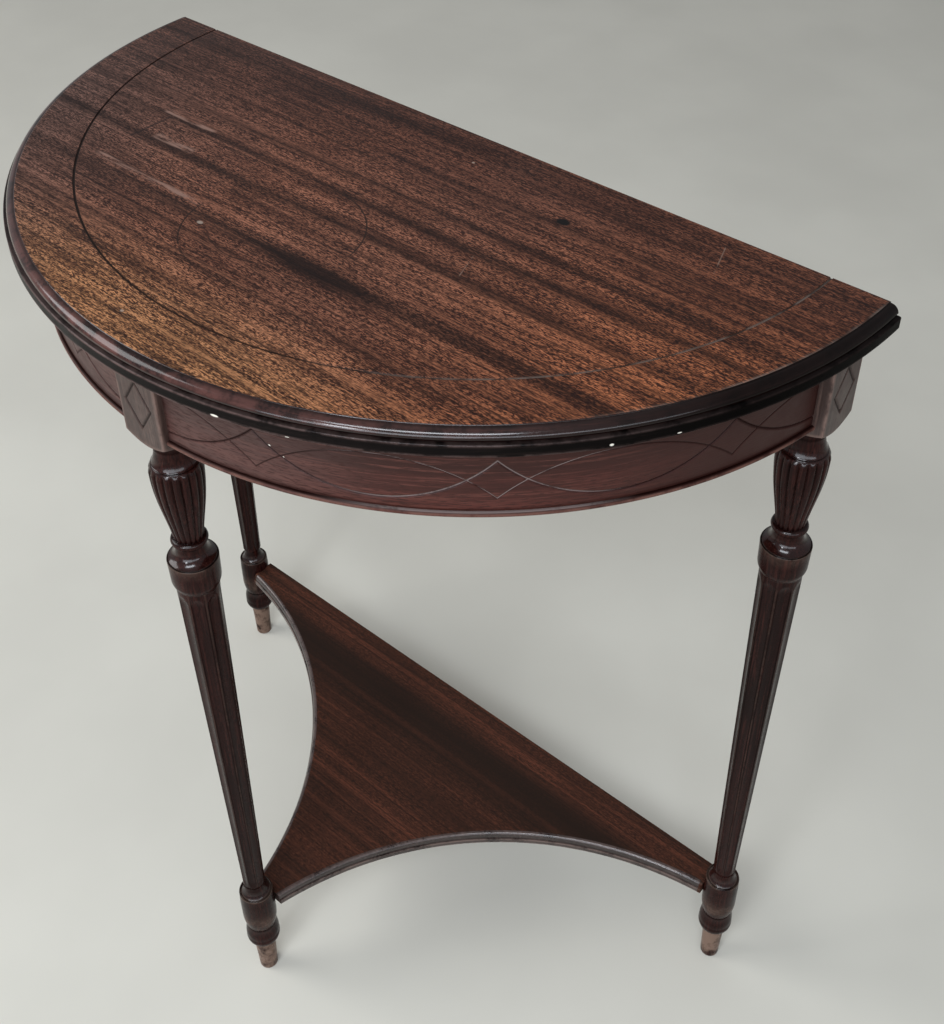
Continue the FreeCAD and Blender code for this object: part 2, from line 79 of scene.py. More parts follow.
# Aprons and beads: each runs from the front leg's block to a back leg's
APRON_OUTSIDE, APRON_INSIDE, BEAD_TOP, BEAD_BOTTOM = 321.0, 301.0, 660.5, 656.5
BEAD_INSIDE, BEAD_NOSE, NOSE_DEPTH, NOSE_TURN = 305.0, 323.5, 2.0, 178
FRONT_STOP, BACK_STOP = 19.0, 120.5
APRON_SWEEP, APRON_STEP, BEAD_ROWS = math.radians(78), 0.6, 220
LOW_LEVELS, CARVED_LEVELS, HIGH_LEVELS = (661.5, 663), (664.5, 704), (706, 711, 715)
APRON_SHIFT, BEAD_SHIFT = 900.0, 400.0
# A dark line at the bead's joint, and a painted shadow under the top's overhang
APRON_JOINT_DIRT_AND_SHADOW = [(BEAD_TOP, 1.4, 0.8), (UNDERSIDE, 4, 0.7)]
# Painted shade at both ends of an apron, by the blocks
APRON_END_WIDTH, APRON_END_SHADE, MOST_CORNER_DARKENING = 1.6, 0.8, 0.5
BEAD_WEAR, BEAD_DIRT = [(BEAD_NOSE, 0.6, 0.8)], [(BEAD_TOP, 0.7, 1.0)]

# Two rows of incised arcs: heights of an arc's crown and tips, then a line's half width and depth
PATTERN_MIDDLE, PATTERN_PITCH = math.radians(-47.7), 148.5
LOWER_ARC, UPPER_ARC = (667.5, 699.0), (700.5, 670.3)
LOWER_LINE, UPPER_LINE = (1.0, 1.0), (0.7, 0.4)

# Shelf: its edge as a reach beyond the hollow front and a height
SHELF_TOP, SHELF_BOTTOM = 108.0, 96.0
SHELF_END_X, SHELF_END_Y, SHELF_BACK, SHELF_FRONT, SHELF_TIP = 294.0, -124.0, 151.5, 131.5, 10.5
SHELF_SWEEP, SHELF_STEPS, SHELF_END_MARGIN = 68.0, 150, 1.0
SHELF_BAND = [(4.7, SHELF_BOTTOM), (5.2, 96.5), (5.2, 98.5), (5.2, 101.0)]
SHELF_GROOVE = [(4.9, 101.4), (4.1, 101.5), (4.0, 102.2)]
SHELF_ROUND = 4.0
SHELF_WEAR = [(101.2, 0.45, 0.8), (96.3, 0.45, 0.8), (107.3, 0.9, 0.35)]
SHELF_DIRT = [(101.8, 0.35, 1.0)]

# Legs: axes, and the directions in which the carved face and the shelf lie
LEG_AXES = {"leg_front": (0.0, -137.0), "leg_back_left": (-307.0, 139.5), "leg_back_right": (307.0, 139.5)}
BLOCK_FACES = {"leg_front": (0, -1), "leg_back_left": (-1, 0), "leg_back_right": (1, 0)}
SHELF_SIDES = {"leg_front": (0, 1), "leg_back_left": (1, 0), "leg_back_right": (-1, 0)}
LEG_COLUMNS, FIRST_CORNER, GRAIN_SPREAD = 216, -45, 3

# Turned members of a leg, from the floor up
FOOT_TIP, FOOT_EDGE = (7.2, 0), (8.2, 1.6)
FOOT = [(8.4, 10), (8.8, 22), (9.3, 34), (9.6, 42.6), (9.5, 43.4), (9.8, 43.8)]
BULB_WIDEST, BULB_HEAD, WAIST = (14.6, 56), (12.5, 70.2), [(12.3, 70.6), (12.5, 71.0)]
COLLAR_RADIUS, COLLAR_BELLY, SEAT_STEP, SEAT_MIDDLE = 15, 87, 0.02, 102
COLLAR_SIDE, COLLAR_HEAD = [(14.9, 113), (14.6, 119.4)], (13.7, 121.1)
COLLAR_QUIRK = [(13.2, 121.0), (12.9, 120.8), (12.6, 121.1)]
SHAFT_FOOT, SHAFT_TOP, SHAFT_FOOT_RADIUS, SHAFT_TOP_RADIUS = 136.0, 511.5, 9.5, 15.5
SHAFT_RUNS = [(136.8, 150, 12), (154, 490, 44), (492, 511, 18)]
CUP_FOOT, CUP_SIDE, CUP_RIM = (17.7, 517), [(17.9, 526), (18.2, 535.8)], (17.7, 536.8)
CUP_QUIRK = [(17.3, 536.7), (17.1, 537.0), (16.9, 537.6)]
COVE_HEAD, RING_FOOT, RING_HEAD = (10.7, 550.6), (10.6, 551), (10.7, 556.8)
VASE_FOOT, VASE_WIDEST, VASE_FOOT_RADIUS, VASE_RADIUS = 557.0, 617.0, 10.7, 18.3
VASE_TAPER, VASE_ROWS, VASE_SHOULDER = 1.3, 46, (15.8, 624.5)
VASE_QUIRK = [(15.4, 624.7), (15.5, 625.0), (15.9, 625.2)]
BELL_FOOT, BELL_TOP = (15.6, 625.5), (12.6, 639.0)
NECK_RADIUS, NECK_LEVELS = 12.5, (639.6, 642)
LEG_WEAR = [(120.6, 0.7, 0.9), (536.4, 0.5, 0.6), (85, 9, 0.3)]
LEG_DIRT = [(height, 0.5, 1.0) for height in (43.5, 70.6, 120.8, 536.8, 624.8)]
LEG_DIRT += [(height, 1.3, 0.7) for height in (551, 557, 640)]
SEAT_REACH, FOOT_RUB, RUB_TOP, RUB_FADE = 13.0, 0.95, 46.0, 3.0

# Reeds of the vase and flutes of the taper
REEDS, REED_DEPTH, REED_HEAD, REED_HEAD_LENGTH, REED_FULLNESS = 18, 2.1, 618.0, 5.2, 0.985
# Painted shade in the hollows between the reeds
REED_SHADE_GAIN, REED_SHADE_START = 1.8, 0.25
FLUTES, FLUTE_SHARE, FLUTE_FOOT_DEPTH, FLUTE_TOP_DEPTH = 8, 0.88, 1.0, 1.5
FLUTE_RUN, FLUTE_MARGIN, FLUTE_START = 9.0, 5, 0.02
# Painted shade along the sides of each flute
FLUTE_SIDE_SHADE, LAND_START, LAND_WEAR = [(0.9, 0.09, 0.7)], 0.98, 0.1

# Square block of a leg: its sloping shoulder, its rows as shares of the height, its incised diamond
BLOCK_HALF, BLOCK_CORNER, CORNER_STEPS, CORNER_INSET, CORNER_FADE = 19.0, 0.9, 4, 0.37, 1.6
# The downward sloping shoulder under the block has a little painted shade
SHOULDER_LOW, SHOULDER_SLOPE, SHOULDER_ROWS, SHOULDER_SHADE = 645.5, 0.5915, 8, 0.25
LOW_SHARES, CARVED_SHARES, HIGH_SHARES = (0.006, 0.04, 0.09), (0.15, 0.78, 66), (0.86, 0.93, 1)
DIAMOND_Z, DIAMOND_HALF_WIDTH, DIAMOND_HALF_HEIGHT = 682.0, 12.0, 18.0
BLOCK_LINE_HALF, BLOCK_LINE_DEPTH, BLOCK_MARGIN = 1.2, 1.1, 0.01
# Painted shadow on the block just under the top
BLOCK_WEAR, BLOCK_FOOT_WEAR, BLOCK_SHADOW_UNDER_TOP = 0.75, [(0, 0.012, 1.0)], [(UNDERSIDE, 4, 0.6)]

# Dark stripes of the two boards: the share of the depth from front to back at which each lies, and how dark
# it is; on the top they slope a little
BOARD_FRONT, BOARD_BACK, STRIPE_SLOPE = -0.17, 0.17, 0.017
TOP_STRIPES = [
    (0.0, 0.0), (1.0, 0.5), (0.23, 0.05), (0.278, 0.45), (0.30, 0.1), (0.36, 0.15), (0.404, 0.8),
    (0.435, 0.05), (0.475, 0.1), (0.50, 0.3), (0.52, 0.05), (0.55, 0.7), (0.58, 0.1), (0.61, 0.1),
    (0.64, 0.75), (0.665, 0.1), (0.68, 0.1), (0.706, 0.7), (0.73, 0.15), (0.77, 0.15), (0.807, 0.4),
    (0.84, 0.25), (0.865, 0.35), (0.89, 0.3), (0.925, 0.5),
]
SHELF_STRIPES = [
    (0.0, 0.35), (1.0, 0.25), (0.2, 0.45), (0.3, 0.2), (0.42, 0.5), (0.5, 0.15), (0.6, 0.4), (0.68, 0.3),
    (0.74, 0.8), (0.80, 1.0), (0.84, 0.85), (0.875, 0.1), (0.92, 0.3), (0.96, 0.0),
]

# Woods of the top by region, where a region lists the places at which it starts and is full
FRONT_REGION, BACK_REGION = (-0.06, -0.15), (0.0, 0.16)
# At the left the top's tones are greyer and paler and its stripes weaker: a painted sheen
LEFT_SHEEN_REGION, RIGHT_REGION = (-0.05, -0.3), (0.05, 0.3)
TOP_DARK = (0.011, 0.0052, 0.0046)
GROUND, GROUND_FRONT, GROUND_LEFT_SHEEN = (0.045, 0.0145, 0.010), (0.062, 0.023, 0.0125), (0.052, 0.026, 0.020)
FLECK, FLECK_FRONT, FLECK_LEFT_SHEEN = (0.42, 0.175, 0.105), (0.58, 0.275, 0.125), (0.25, 0.135, 0.105)
FLECK_RIGHT, FLECK_BACK = (0.52, 0.18, 0.077), (0.22, 0.085, 0.055)
CHALK_REGION, LINE_DARK, LINE_CHALK = (0.08, 0.2), (0.010, 0.006, 0.005), (0.16, 0.125, 0.105)
SHELF_TONES = (0.004, 0.002, 0.002), (0.030, 0.009, 0.0055), (0.17, 0.05, 0.027)
SHELF_GRIME, SHELF_WORN = (0.006, 0.004, 0.004), (0.13, 0.08, 0.055)
RAIL_TONES = (0.11, 0.062, 0.035), (0.19, 0.115, 0.066)
RAIL_STREAK, RAIL_DUST = (0.075, 0.04, 0.022), (0.13, 0.105, 0.085)
FLOOR_TONES = (0.63, 0.615, 0.55), (0.68, 0.665, 0.595)

# Marks on the top; the ends of a ring are angles in radians
STAIN_CENTRE, STAIN_SIZE = (0.039, -0.03), (0.08, 0.042)
STROKE_BLUR, STROKE_CORE = 0.1, 0.4
RING_CENTRE, RING_RADIUS, RING_HALF = (-0.020, -0.017), 0.0622, 0.0008
RING_ENDS = [(0.05, 1.72), (-3.1, -1.6)]
WAVE_ENDS, WAVE_MIDDLE, WAVE_HALF, WAVE_RATE, WAVE_HEIGHT = (-0.056, 0.027), -0.052, 0.0007, 75.0, 0.005
DENT_ENDS, DENT_MIDDLE, DENT_HALF = (0.002, 0.046), -0.1967, 0.0018
PALE_RUBS = [
    ((-0.2, -0.078), -0.026, 0.0035),
    ((-0.185, -0.14), 0.018, 0.005),
    ((-0.21, -0.15), 0.048, 0.003),
]
CROSS_SCRATCHES, CROSS_SLANT, CROSS_HALF = [((0.125, 0.158), 0.276), ((0.02, 0.045), 0.118)], 0.35, 0.0006
PALE_SPECKS = [
    ((-0.064, -0.042), (0.0032, 0.0022)),
    ((0.0235, 0.1365), (0.0016, 0.0012)),
    ((-0.022, -0.14), (0.0018, 0.0014)),
]
BURN_CENTRE, BURN_SIZE = (0.1215, 0.114), (0.0062, 0.0046)
SCRATCH, DENT, BURN = (0.018, 0.010, 0.008), (0.020, 0.011, 0.010), (0.006, 0.005, 0.005)
RUB, PALE_SCRATCH, SPECK = (0.27, 0.16, 0.125), (0.20, 0.13, 0.10), (0.34, 0.27, 0.22)

# Paint chips: angle round the curve in degrees, height, half length and half height in millimetres
EDGE_CHIPS = [
    (-75.9, 720.2, 3.2, 1.0), (-37.1, 720.9, 1.5, 1.0), (-30.3, 720.2, 1.7, 0.5), (-68.0, 719.2, 1.6, 0.4),
]
APRON_CHIPS = [(-72.2, 690.5, 1.1, 0.9), (-70.6, 684.2, 0.7, 0.6), (-22.0, 700.5, 1.4, 0.5)]
WHITE_PAINT = (0.72, 0.68, 0.60)

# Along its depth an apron is greyer in front and darker at the back, the dark a painted shade, with dust and
# a painted highlight in its lines between
GREYER_FRONT_REGION, SHADED_BACK_REGION = (-0.1, -0.15), (-0.07, 0.05)
DUST_AND_HIGHLIGHT_START, DUST_AND_HIGHLIGHT_END = (-0.13, -0.1), (0.0, -0.04)

# Light and camera
WHITE, DAYLIGHT, WINDOW, SKY = (1.0, 1.0, 1.0), (0.86, 0.92, 1.0), (0.92, 0.95, 1.0), (0.88, 0.93, 1.0)
FILL_COLOUR, FILL_STRENGTH = (0.95, 0.97, 1.0, 1.0), 0.36
BACKDROP_COLOUR, BACKDROP_STRENGTH = (0.80, 0.79, 0.75, 1.0), 0.75
FLOOR_SIZE = 14
CAMERA_PLACE = (0.59046, -0.52056, 1.21896)
YAW, PITCH, ROLL = 0.7128, 0.6745, -0.0076
FOCAL_PIXELS, PHOTO_WIDTH, PHOTO_HEIGHT = 1376.76, 944, 1024
CENTRE_X, CENTRE_Y = 474.09, 393.01
SENSOR = 36.0


def arc(start, end, turn, steps):
    """Points of an arc after its start; it turns left by so many degrees on its way to its end."""
    start, end = np.array(start, float), np.array(end, float)
    half = math.radians(turn) / 2
    points = []
    for step in range(1, steps + 1):
        share = step / steps
        angle = -(1 - share) * half
        reach = math.sin(share * half) / math.sin(half)
        chord = (end - start) * reach
        points.append((start[0] + chord[0] * math.cos(angle) - chord[1] * math.sin(angle),
                       start[1] + chord[0] * math.sin(angle) + chord[1] * math.cos(angle)))
    return points


def marks(values, places):
    """The sum of marks that fall off smoothly from their places, each with a width and a strength."""
    return sum(strength * np.exp(-((values - place) / width) ** 2) for place, width, strength in places)


def v_cut(distance, half_width):
    """The share of its full depth that a V-shaped cut with slightly rounded edges has at this distance."""
    return np.clip(1 - distance / half_width, 0, 1) ** CUT_ROUNDING


class Piece:
    """A visible piece of closed point grids with wear and painted glints, dirt and painted shade, and grain.
    """

    def __init__(self, name, nodes, slot, *materials):
        self.name, self.nodes, self.slot, self.materials = name, nodes, slot, materials
        self.points, self.faces, self.looks = [], [], []
        self.wear, self.dirt, self.grain = [], [], []
        self.count = 0

    def grid(self, points, wear=0.0, dirt=0.0, grain=None, look=0, cap_look=0):
        """Rows of closed rings, capped at both ends; look gives the material of each ring's faces."""
        rows, columns = points.shape[:2]
        place = self.count + np.arange(rows * columns).reshape(rows, columns)
        ring = np.roll(place, -1, axis=1)
        quads = np.stack([place[:-1], ring[:-1], ring[1:], place[1:]], axis=-1).reshape(-1, 4)
        look = np.broadcast_to(look, (rows - 1, columns)).reshape(-1)
        self.faces += quads.tolist() + [place[0].tolist(), place[-1].tolist()]
        self.looks += look.tolist() + [cap_look, cap_look]
        self.points.append(points.reshape(-1, 3))
        self.wear.append(np.broadcast_to(wear, (rows, columns)).reshape(-1))
        self.dirt.append(np.broadcast_to(dirt, (rows, columns)).reshape(-1))
        self.grain.append((points if grain is None else grain).reshape(-1, 3))
        self.count += rows * columns

    def finish(self):
        """Welds the grids into a mesh, shades it smooth between its sharp edges and hangs it on the frame."""
        mesh = bpy.data.meshes.new(self.name)
        mesh.from_pydata((np.concatenate(self.points) * MM).tolist(), [], self.faces)
        mesh.polygons.foreach_set("material_index", self.looks)
        for name, kind, field, values in (
            ("wear", "FLOAT", "value", np.concatenate(self.wear)),
            ("dirt", "FLOAT", "value", np.concatenate(self.dirt)),
            ("grain", "FLOAT_VECTOR", "vector", np.concatenate(self.grain) * MM),
        ):
            attribute = mesh.attributes.new(name, kind, "POINT")
            attribute.data.foreach_set(field, values.astype(np.float32).ravel())
        shape = bmesh.new()
        shape.from_mesh(mesh)
        bmesh.ops.remove_doubles(shape, verts=shape.verts, dist=WELD)
        bmesh.ops.recalc_face_normals(shape, faces=shape.faces)
        shape.to_mesh(mesh)
        shape.free()
        mesh.shade_smooth()
        mesh.set_sharp_from_angle(angle=SHARP_ANGLE)
        for material in self.materials:
            mesh.materials.append(material)
        piece = bpy.data.objects.new(self.name, mesh)
        bpy.context.scene.collection.objects.link(piece)
        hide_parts(*self.nodes)
        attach(piece, "root")
        return piece


def make_top(face_wood, edge_wood, band_wood):
    """Half a turned disc: a quirk, a round and a groove over a square band, and one incised line."""
    profile = [(radius, UNDERSIDE) for radius in UNDER_RINGS]
    profile += arc(profile[-1], (TOP_RADIUS, BAND_FOOT), ARRIS_TURN, steps=4)
    profile += [(TOP_RADIUS, height) for height in BAND_LEVELS]
    profile += arc(profile[-1], BAND_HEAD, ARRIS_TURN, steps=4)
    profile += GROOVE
    profile += arc(profile[-1], ROUND_HEAD, ROUND_TURN, steps=14)
    profile += [QUIRK_FOOT]
    profile += arc(profile[-1], RIM, ARRIS_TURN, steps=3)
    face_start = len(profile) - 1
    profile += [(radius, TOP_SURFACE) for radius in (*RIM_RINGS, LINE_RADIUS + LINE_HALF)]
    profile += [(LINE_RADIUS + LINE_FLOOR_HALF, LINE_FLOOR), (LINE_RADIUS - LINE_FLOOR_HALF, LINE_FLOOR)]
    profile += [(radius, TOP_SURFACE) for radius in (LINE_RADIUS - LINE_HALF, *FACE_RINGS)]
    radius, height = np.array(profile, float).T
    angle = np.linspace(math.pi, 2 * math.pi, TOP_COLUMNS + 1)[:, None]
    points = np.stack([radius * np.cos(angle), CURVE_Y + radius * np.sin(angle), height + 0 * angle], axis=-1)

    on_edge = (radius > FACE_RADIUS - EDGE_MARGIN) & (height > UNDERSIDE)
    toward_front = np.clip(LEFT_WEAR + (1 - LEFT_WEAR) * (angle - FRONT_START) / FRONT_FADE, LEFT_WEAR, 1)
    handled = toward_front * np.clip((EDGE_WEAR_END - angle) / EDGE_WEAR_FADE, LEAST_WEAR, 1)
    arrises = marks(height, ARRIS_WEAR_AND_GLINT) * (UNTOUCHED_WEAR + (1 - UNTOUCHED_WEAR) * handled)
    on_round = np.clip((height - ROUND_START) / ROUND_FADE, 0, 1) * (radius > FACE_RADIUS)
    wear = np.where(on_edge, np.clip(arrises + ROUND_WEAR * on_round * handled, 0, 1), 0)
    # Painted shade on the right end of the edge
    right_end_shade = EDGE_SHADE * np.clip((angle - EDGE_SHADE_START) / EDGE_SHADE_FADE, 0, 1)
    dirt = np.where(on_edge, np.maximum(marks(height, EDGE_DIRT), right_end_shade), 0)
    dirt = np.where(abs(radius - LINE_RADIUS) < LINE_DIRT_HALF, 1.0, dirt)

    flat = (np.arange(len(radius)) >= face_start) | (height <= UNDERSIDE)
    look = np.select([flat, height > BAND_TOP], [0, 1], 2)
    follows = np.stack(np.broadcast_arrays(angle * TOP_RADIUS, height, radius), axis=-1)
    grain = np.where(on_edge[None, :, None], follows, points)
    piece = Piece("top_board_look", ["top_board"], "mahogany_top", face_wood, edge_wood, band_wood)
    piece.grid(points, wear, dirt, grain, look)
    return piece.finish()


def strip_angles(radius, rows):
    """The angles at which a curved strip of this radius runs from the front leg's block to the back leg's."""
    start = -np.arccos(FRONT_STOP / radius)
    end = -np.arcsin((CURVE_Y - BACK_STOP) / radius)
    share = np.linspace(0, 1, rows)[:, None]
    return start + (end - start) * share


def arc_row(along, height, crown, points):
    """Distance to the nearest of a row of arcs, each between neighbouring diamond points."""
    local = (along / PATTERN_PITCH) % 1 * PATTERN_PITCH - PATTERN_PITCH / 2
    sag = points - crown
    radius = PATTERN_PITCH ** 2 / (8 * abs(sag)) + abs(sag) / 2
    centre = crown + math.copysign(radius, sag)
    return abs(np.hypot(local, height - centre) - radius)


def make_apron(side, mirror, wood):
    """A curved board whose outside carries two rows of incised arcs that form diamonds and ovals."""
    carved = np.arange(*CARVED_LEVELS, APRON_STEP)
    face = np.concatenate([[BEAD_TOP, *LOW_LEVELS], carved, [*HIGH_LEVELS, UNDERSIDE]])
    radius = np.concatenate([np.full(len(face), APRON_OUTSIDE), [APRON_INSIDE, APRON_INSIDE]])
    height = np.concatenate([face, [UNDERSIDE, BEAD_TOP]])
    angle = strip_angles(radius, int(APRON_OUTSIDE * APRON_SWEEP / APRON_STEP))
    along = APRON_OUTSIDE * (angle - PATTERN_MIDDLE)
    height = height + 0 * angle
    lines, cut = np.zeros(along.shape), np.zeros(along.shape)
    for (crown, tips), (half_width, depth) in ((LOWER_ARC, LOWER_LINE), (UPPER_ARC, UPPER_LINE)):
        line = v_cut(arc_row(along, height, crown, tips), half_width)
        line = np.where(radius == APRON_OUTSIDE, line, 0)
        lines, cut = np.maximum(lines, line), np.maximum(cut, depth * line)
    reach = radius - cut
    points = np.stack([mirror * reach * np.cos(angle), CURVE_Y + reach * np.sin(angle), height], axis=-1)
    # The cuts are darkened, with painted shade at the ends by the blocks and a painted shadow under the top
    ends = [(end, APRON_END_WIDTH, APRON_END_SHADE) for end in (along.min(), along.max())]
    corners = marks(along, ends) + marks(height, APRON_JOINT_DIRT_AND_SHADOW)
    dirt = np.maximum(lines, np.clip(corners, 0, MOST_CORNER_DARKENING))
    grain = np.stack([along + mirror * APRON_SHIFT, height, reach], axis=-1)
    piece = Piece(f"apron_{side}_look", [f"apron_{side}"], "mahogany_dark", wood)
    piece.grid(points, 0.0, dirt, grain)
    return piece.finish()


def make_bead(side, mirror, wood):
    """The thin strip under an apron, with a round nose that stands a little proud of it."""
    nose_start, nose_end = (BEAD_NOSE - NOSE_DEPTH, BEAD_BOTTOM), (BEAD_NOSE - NOSE_DEPTH, BEAD_TOP)
    nose = arc(nose_start, nose_end, NOSE_TURN, steps=12)
    section = [(BEAD_INSIDE, BEAD_BOTTOM), nose_start, *nose, (BEAD_INSIDE, BEAD_TOP)]
    radius, height = np.array(section).T
    angle = strip_angles(radius, BEAD_ROWS)
    radius, height = radius + 0 * angle, height + 0 * angle
    points = np.stack([mirror * radius * np.cos(angle), CURVE_Y + radius * np.sin(angle), height], axis=-1)
    grain = np.stack([APRON_OUTSIDE * angle + mirror * BEAD_SHIFT, height, radius], axis=-1)
    piece = Piece(f"apron_bead_{side}_look", [f"apron_bead_{side}"], "mahogany_dark", wood)
    piece.grid(points, marks(radius, BEAD_WEAR), marks(height, BEAD_DIRT), grain)
    return piece.finish()


def leg_profile():
    """The turned part of a leg as radius and height, from the floor up to the neck under the block."""
    profile = [FOOT_TIP]
    profile += arc(profile[-1], FOOT_EDGE, turn=60, steps=4)
    profile += FOOT
    profile += arc(profile[-1], BULB_WIDEST, turn=70, steps=20)
    profile += arc(profile[-1], BULB_HEAD, turn=26, steps=14)
    profile += WAIST
    profile += arc(profile[-1], (COLLAR_RADIUS, COLLAR_BELLY), turn=16, steps=10)
    seat_foot = SHELF_BOTTOM - SEAT_STEP, SHELF_BOTTOM + SEAT_STEP
    seat_head = SHELF_TOP - SEAT_STEP, SHELF_TOP + SEAT_STEP
    profile += [(COLLAR_RADIUS, height) for height in (*seat_foot, SEAT_MIDDLE, *seat_head)]
    profile += COLLAR_SIDE
    profile += arc(profile[-1], COLLAR_HEAD, turn=70, steps=5)
    profile += COLLAR_QUIRK
    profile += arc(profile[-1], (SHAFT_FOOT_RADIUS, SHAFT_FOOT), turn=-62, steps=14)
    for height in np.concatenate([np.linspace(*run) for run in SHAFT_RUNS]):
        share = (height - SHAFT_FOOT) / (SHAFT_TOP - SHAFT_FOOT)
        profile.append((SHAFT_FOOT_RADIUS + (SHAFT_TOP_RADIUS - SHAFT_FOOT_RADIUS) * share, height))
    profile += arc(profile[-1], CUP_FOOT, turn=24, steps=8)
    profile += CUP_SIDE
    profile += arc(profile[-1], CUP_RIM, turn=75, steps=5)
    profile += CUP_QUIRK
    profile += arc(profile[-1], COVE_HEAD, turn=-72, steps=16)
    profile += [RING_FOOT]
    profile += arc(profile[-1], RING_HEAD, turn=160, steps=16)
    for height in np.linspace(VASE_FOOT, VASE_WIDEST, VASE_ROWS):
        share = (VASE_WIDEST - height) / (VASE_WIDEST - VASE_FOOT)
        swell = math.cos(share * math.pi / 2) ** VASE_TAPER
        profile.append((VASE_FOOT_RADIUS + (VASE_RADIUS - VASE_FOOT_RADIUS) * swell, height))
    profile += arc(profile[-1], VASE_SHOULDER, turn=46, steps=16)
    profile += VASE_QUIRK
    profile += arc(profile[-1], BELL_FOOT, turn=60, steps=3)
    profile += arc(profile[-1], BELL_TOP, turn=-36, steps=18)
    profile += [(NECK_RADIUS, height) for height in (*NECK_LEVELS, SHOULDER_LOW)]
    return np.array(profile).T


def across_each(turn, count):
    """Where an angle lies within its reed or flute, from -1 at one side to 1 at the other."""
    return (turn * count / (2 * math.pi) + 0.5) % 1 * 2 - 1


def cut_reeds(radius, height, turn):
    """How deep the hollows between the reeds of the vase are."""
    across = across_each(turn, REEDS)
    head = np.clip((height - REED_HEAD) / REED_HEAD_LENGTH, 0, 1)
    depth = REED_DEPTH * radius / VASE_RADIUS * np.sqrt(1 - head ** 2)
    reeded = (height >= VASE_FOOT) & (height <= REED_HEAD + REED_HEAD_LENGTH)
    return np.where(reeded, depth * (1 - np.sqrt(1 - (REED_FULLNESS * across) ** 2)), 0)


def cut_flutes(height, turn):
    """How deep the flutes of the taper are, with the wear on the lands between them and painted shade along
    their sides.
    """
    across = across_each(turn, FLUTES) / FLUTE_SHARE
    share = np.clip((height - SHAFT_FOOT) / (SHAFT_TOP - SHAFT_FOOT), 0, 1)
    full = FLUTE_FOOT_DEPTH + (FLUTE_TOP_DEPTH - FLUTE_FOOT_DEPTH) * share
    top_end = np.clip((height - (SHAFT_TOP - FLUTE_MARGIN - FLUTE_RUN)) / FLUTE_RUN, 0, 1)
    foot_end = np.clip((SHAFT_FOOT + FLUTE_RUN - height) / FLUTE_RUN, 0, 1)
    hollow = np.clip(1 - across ** 2 - top_end ** 2 - foot_end ** 2, 0, 1)
    fluted = (height > SHAFT_FOOT) & (height < SHAFT_TOP)
    on_land = fluted & (abs(across) > LAND_START) & (hollow < FLUTE_START)
    # Painted shade along the flute sides
    dirt = np.where(fluted & (hollow > FLUTE_START), marks(abs(across), FLUTE_SIDE_SHADE), 0)
    return np.where(fluted, full * hollow, 0), LAND_WEAR * on_land, dirt


def turned_part(name):
    """The turned part of a leg round its own axis, flat where the shelf sits, with its wear, dirt and painted
    shade.
    """
    radius, height = leg_profile()[..., None]
    turn = np.radians(FIRST_CORNER + (np.arange(LEG_COLUMNS) + 0.5) * 360 / LEG_COLUMNS)[None, :]
    reed_cut = cut_reeds(radius, height, turn)
    flute_cut, land_wear, flute_dirt = cut_flutes(height, turn)
    reach = radius - reed_cut - flute_cut
    x, y = reach * np.cos(turn), reach * np.sin(turn)
    shelf_x, shelf_y = SHELF_SIDES[name]
    seated = (height > SHELF_BOTTOM) & (height < SHELF_TOP)
    back_off = np.where(seated, np.clip(x * shelf_x + y * shelf_y - SEAT_REACH, 0, None), 0)
    points = np.stack([x - back_off * shelf_x, y - back_off * shelf_y, height + 0 * turn], axis=-1)
    foot_wear = FOOT_RUB * np.clip((RUB_TOP - height) / RUB_FADE, 0, 1)
    wear = marks(height, LEG_WEAR) + foot_wear + land_wear
    # Painted shade deepens the hollows between the reeds
    reed_dirt = np.clip(reed_cut / REED_DEPTH * REED_SHADE_GAIN - REED_SHADE_START, 0, 1)
    dirt = np.clip(marks(height, LEG_DIRT) + reed_dirt + flute_dirt, 0, 1)
    return points, np.clip(wear, 0, 1), dirt


def block_ring():
    """The square block's outline with small rounded corners, from the middle of one corner round."""
    flat = BLOCK_HALF - BLOCK_CORNER
    steps = LEG_COLUMNS // 4 - CORNER_STEPS
    corner = np.radians(np.arange(1, CORNER_STEPS + 1) * 90 / (CORNER_STEPS + 1))
    side = np.concatenate([
        np.stack([np.full(steps, BLOCK_HALF), np.linspace(-flat, flat, steps)], axis=-1),
        np.stack([flat + BLOCK_CORNER * np.cos(corner), flat + BLOCK_CORNER * np.sin(corner)], axis=-1),
    ])
    quarter = np.array([[0.0, 1.0], [-1.0, 0.0]])
    return np.concatenate([side @ np.linalg.matrix_power(quarter, turn) for turn in range(4)])


def shoulder_rise(plan):
    """The height of the sloping shoulder over points on the plan."""
    return SHOULDER_LOW + SHOULDER_SLOPE * (np.hypot(*plan.T) - NECK_RADIUS)


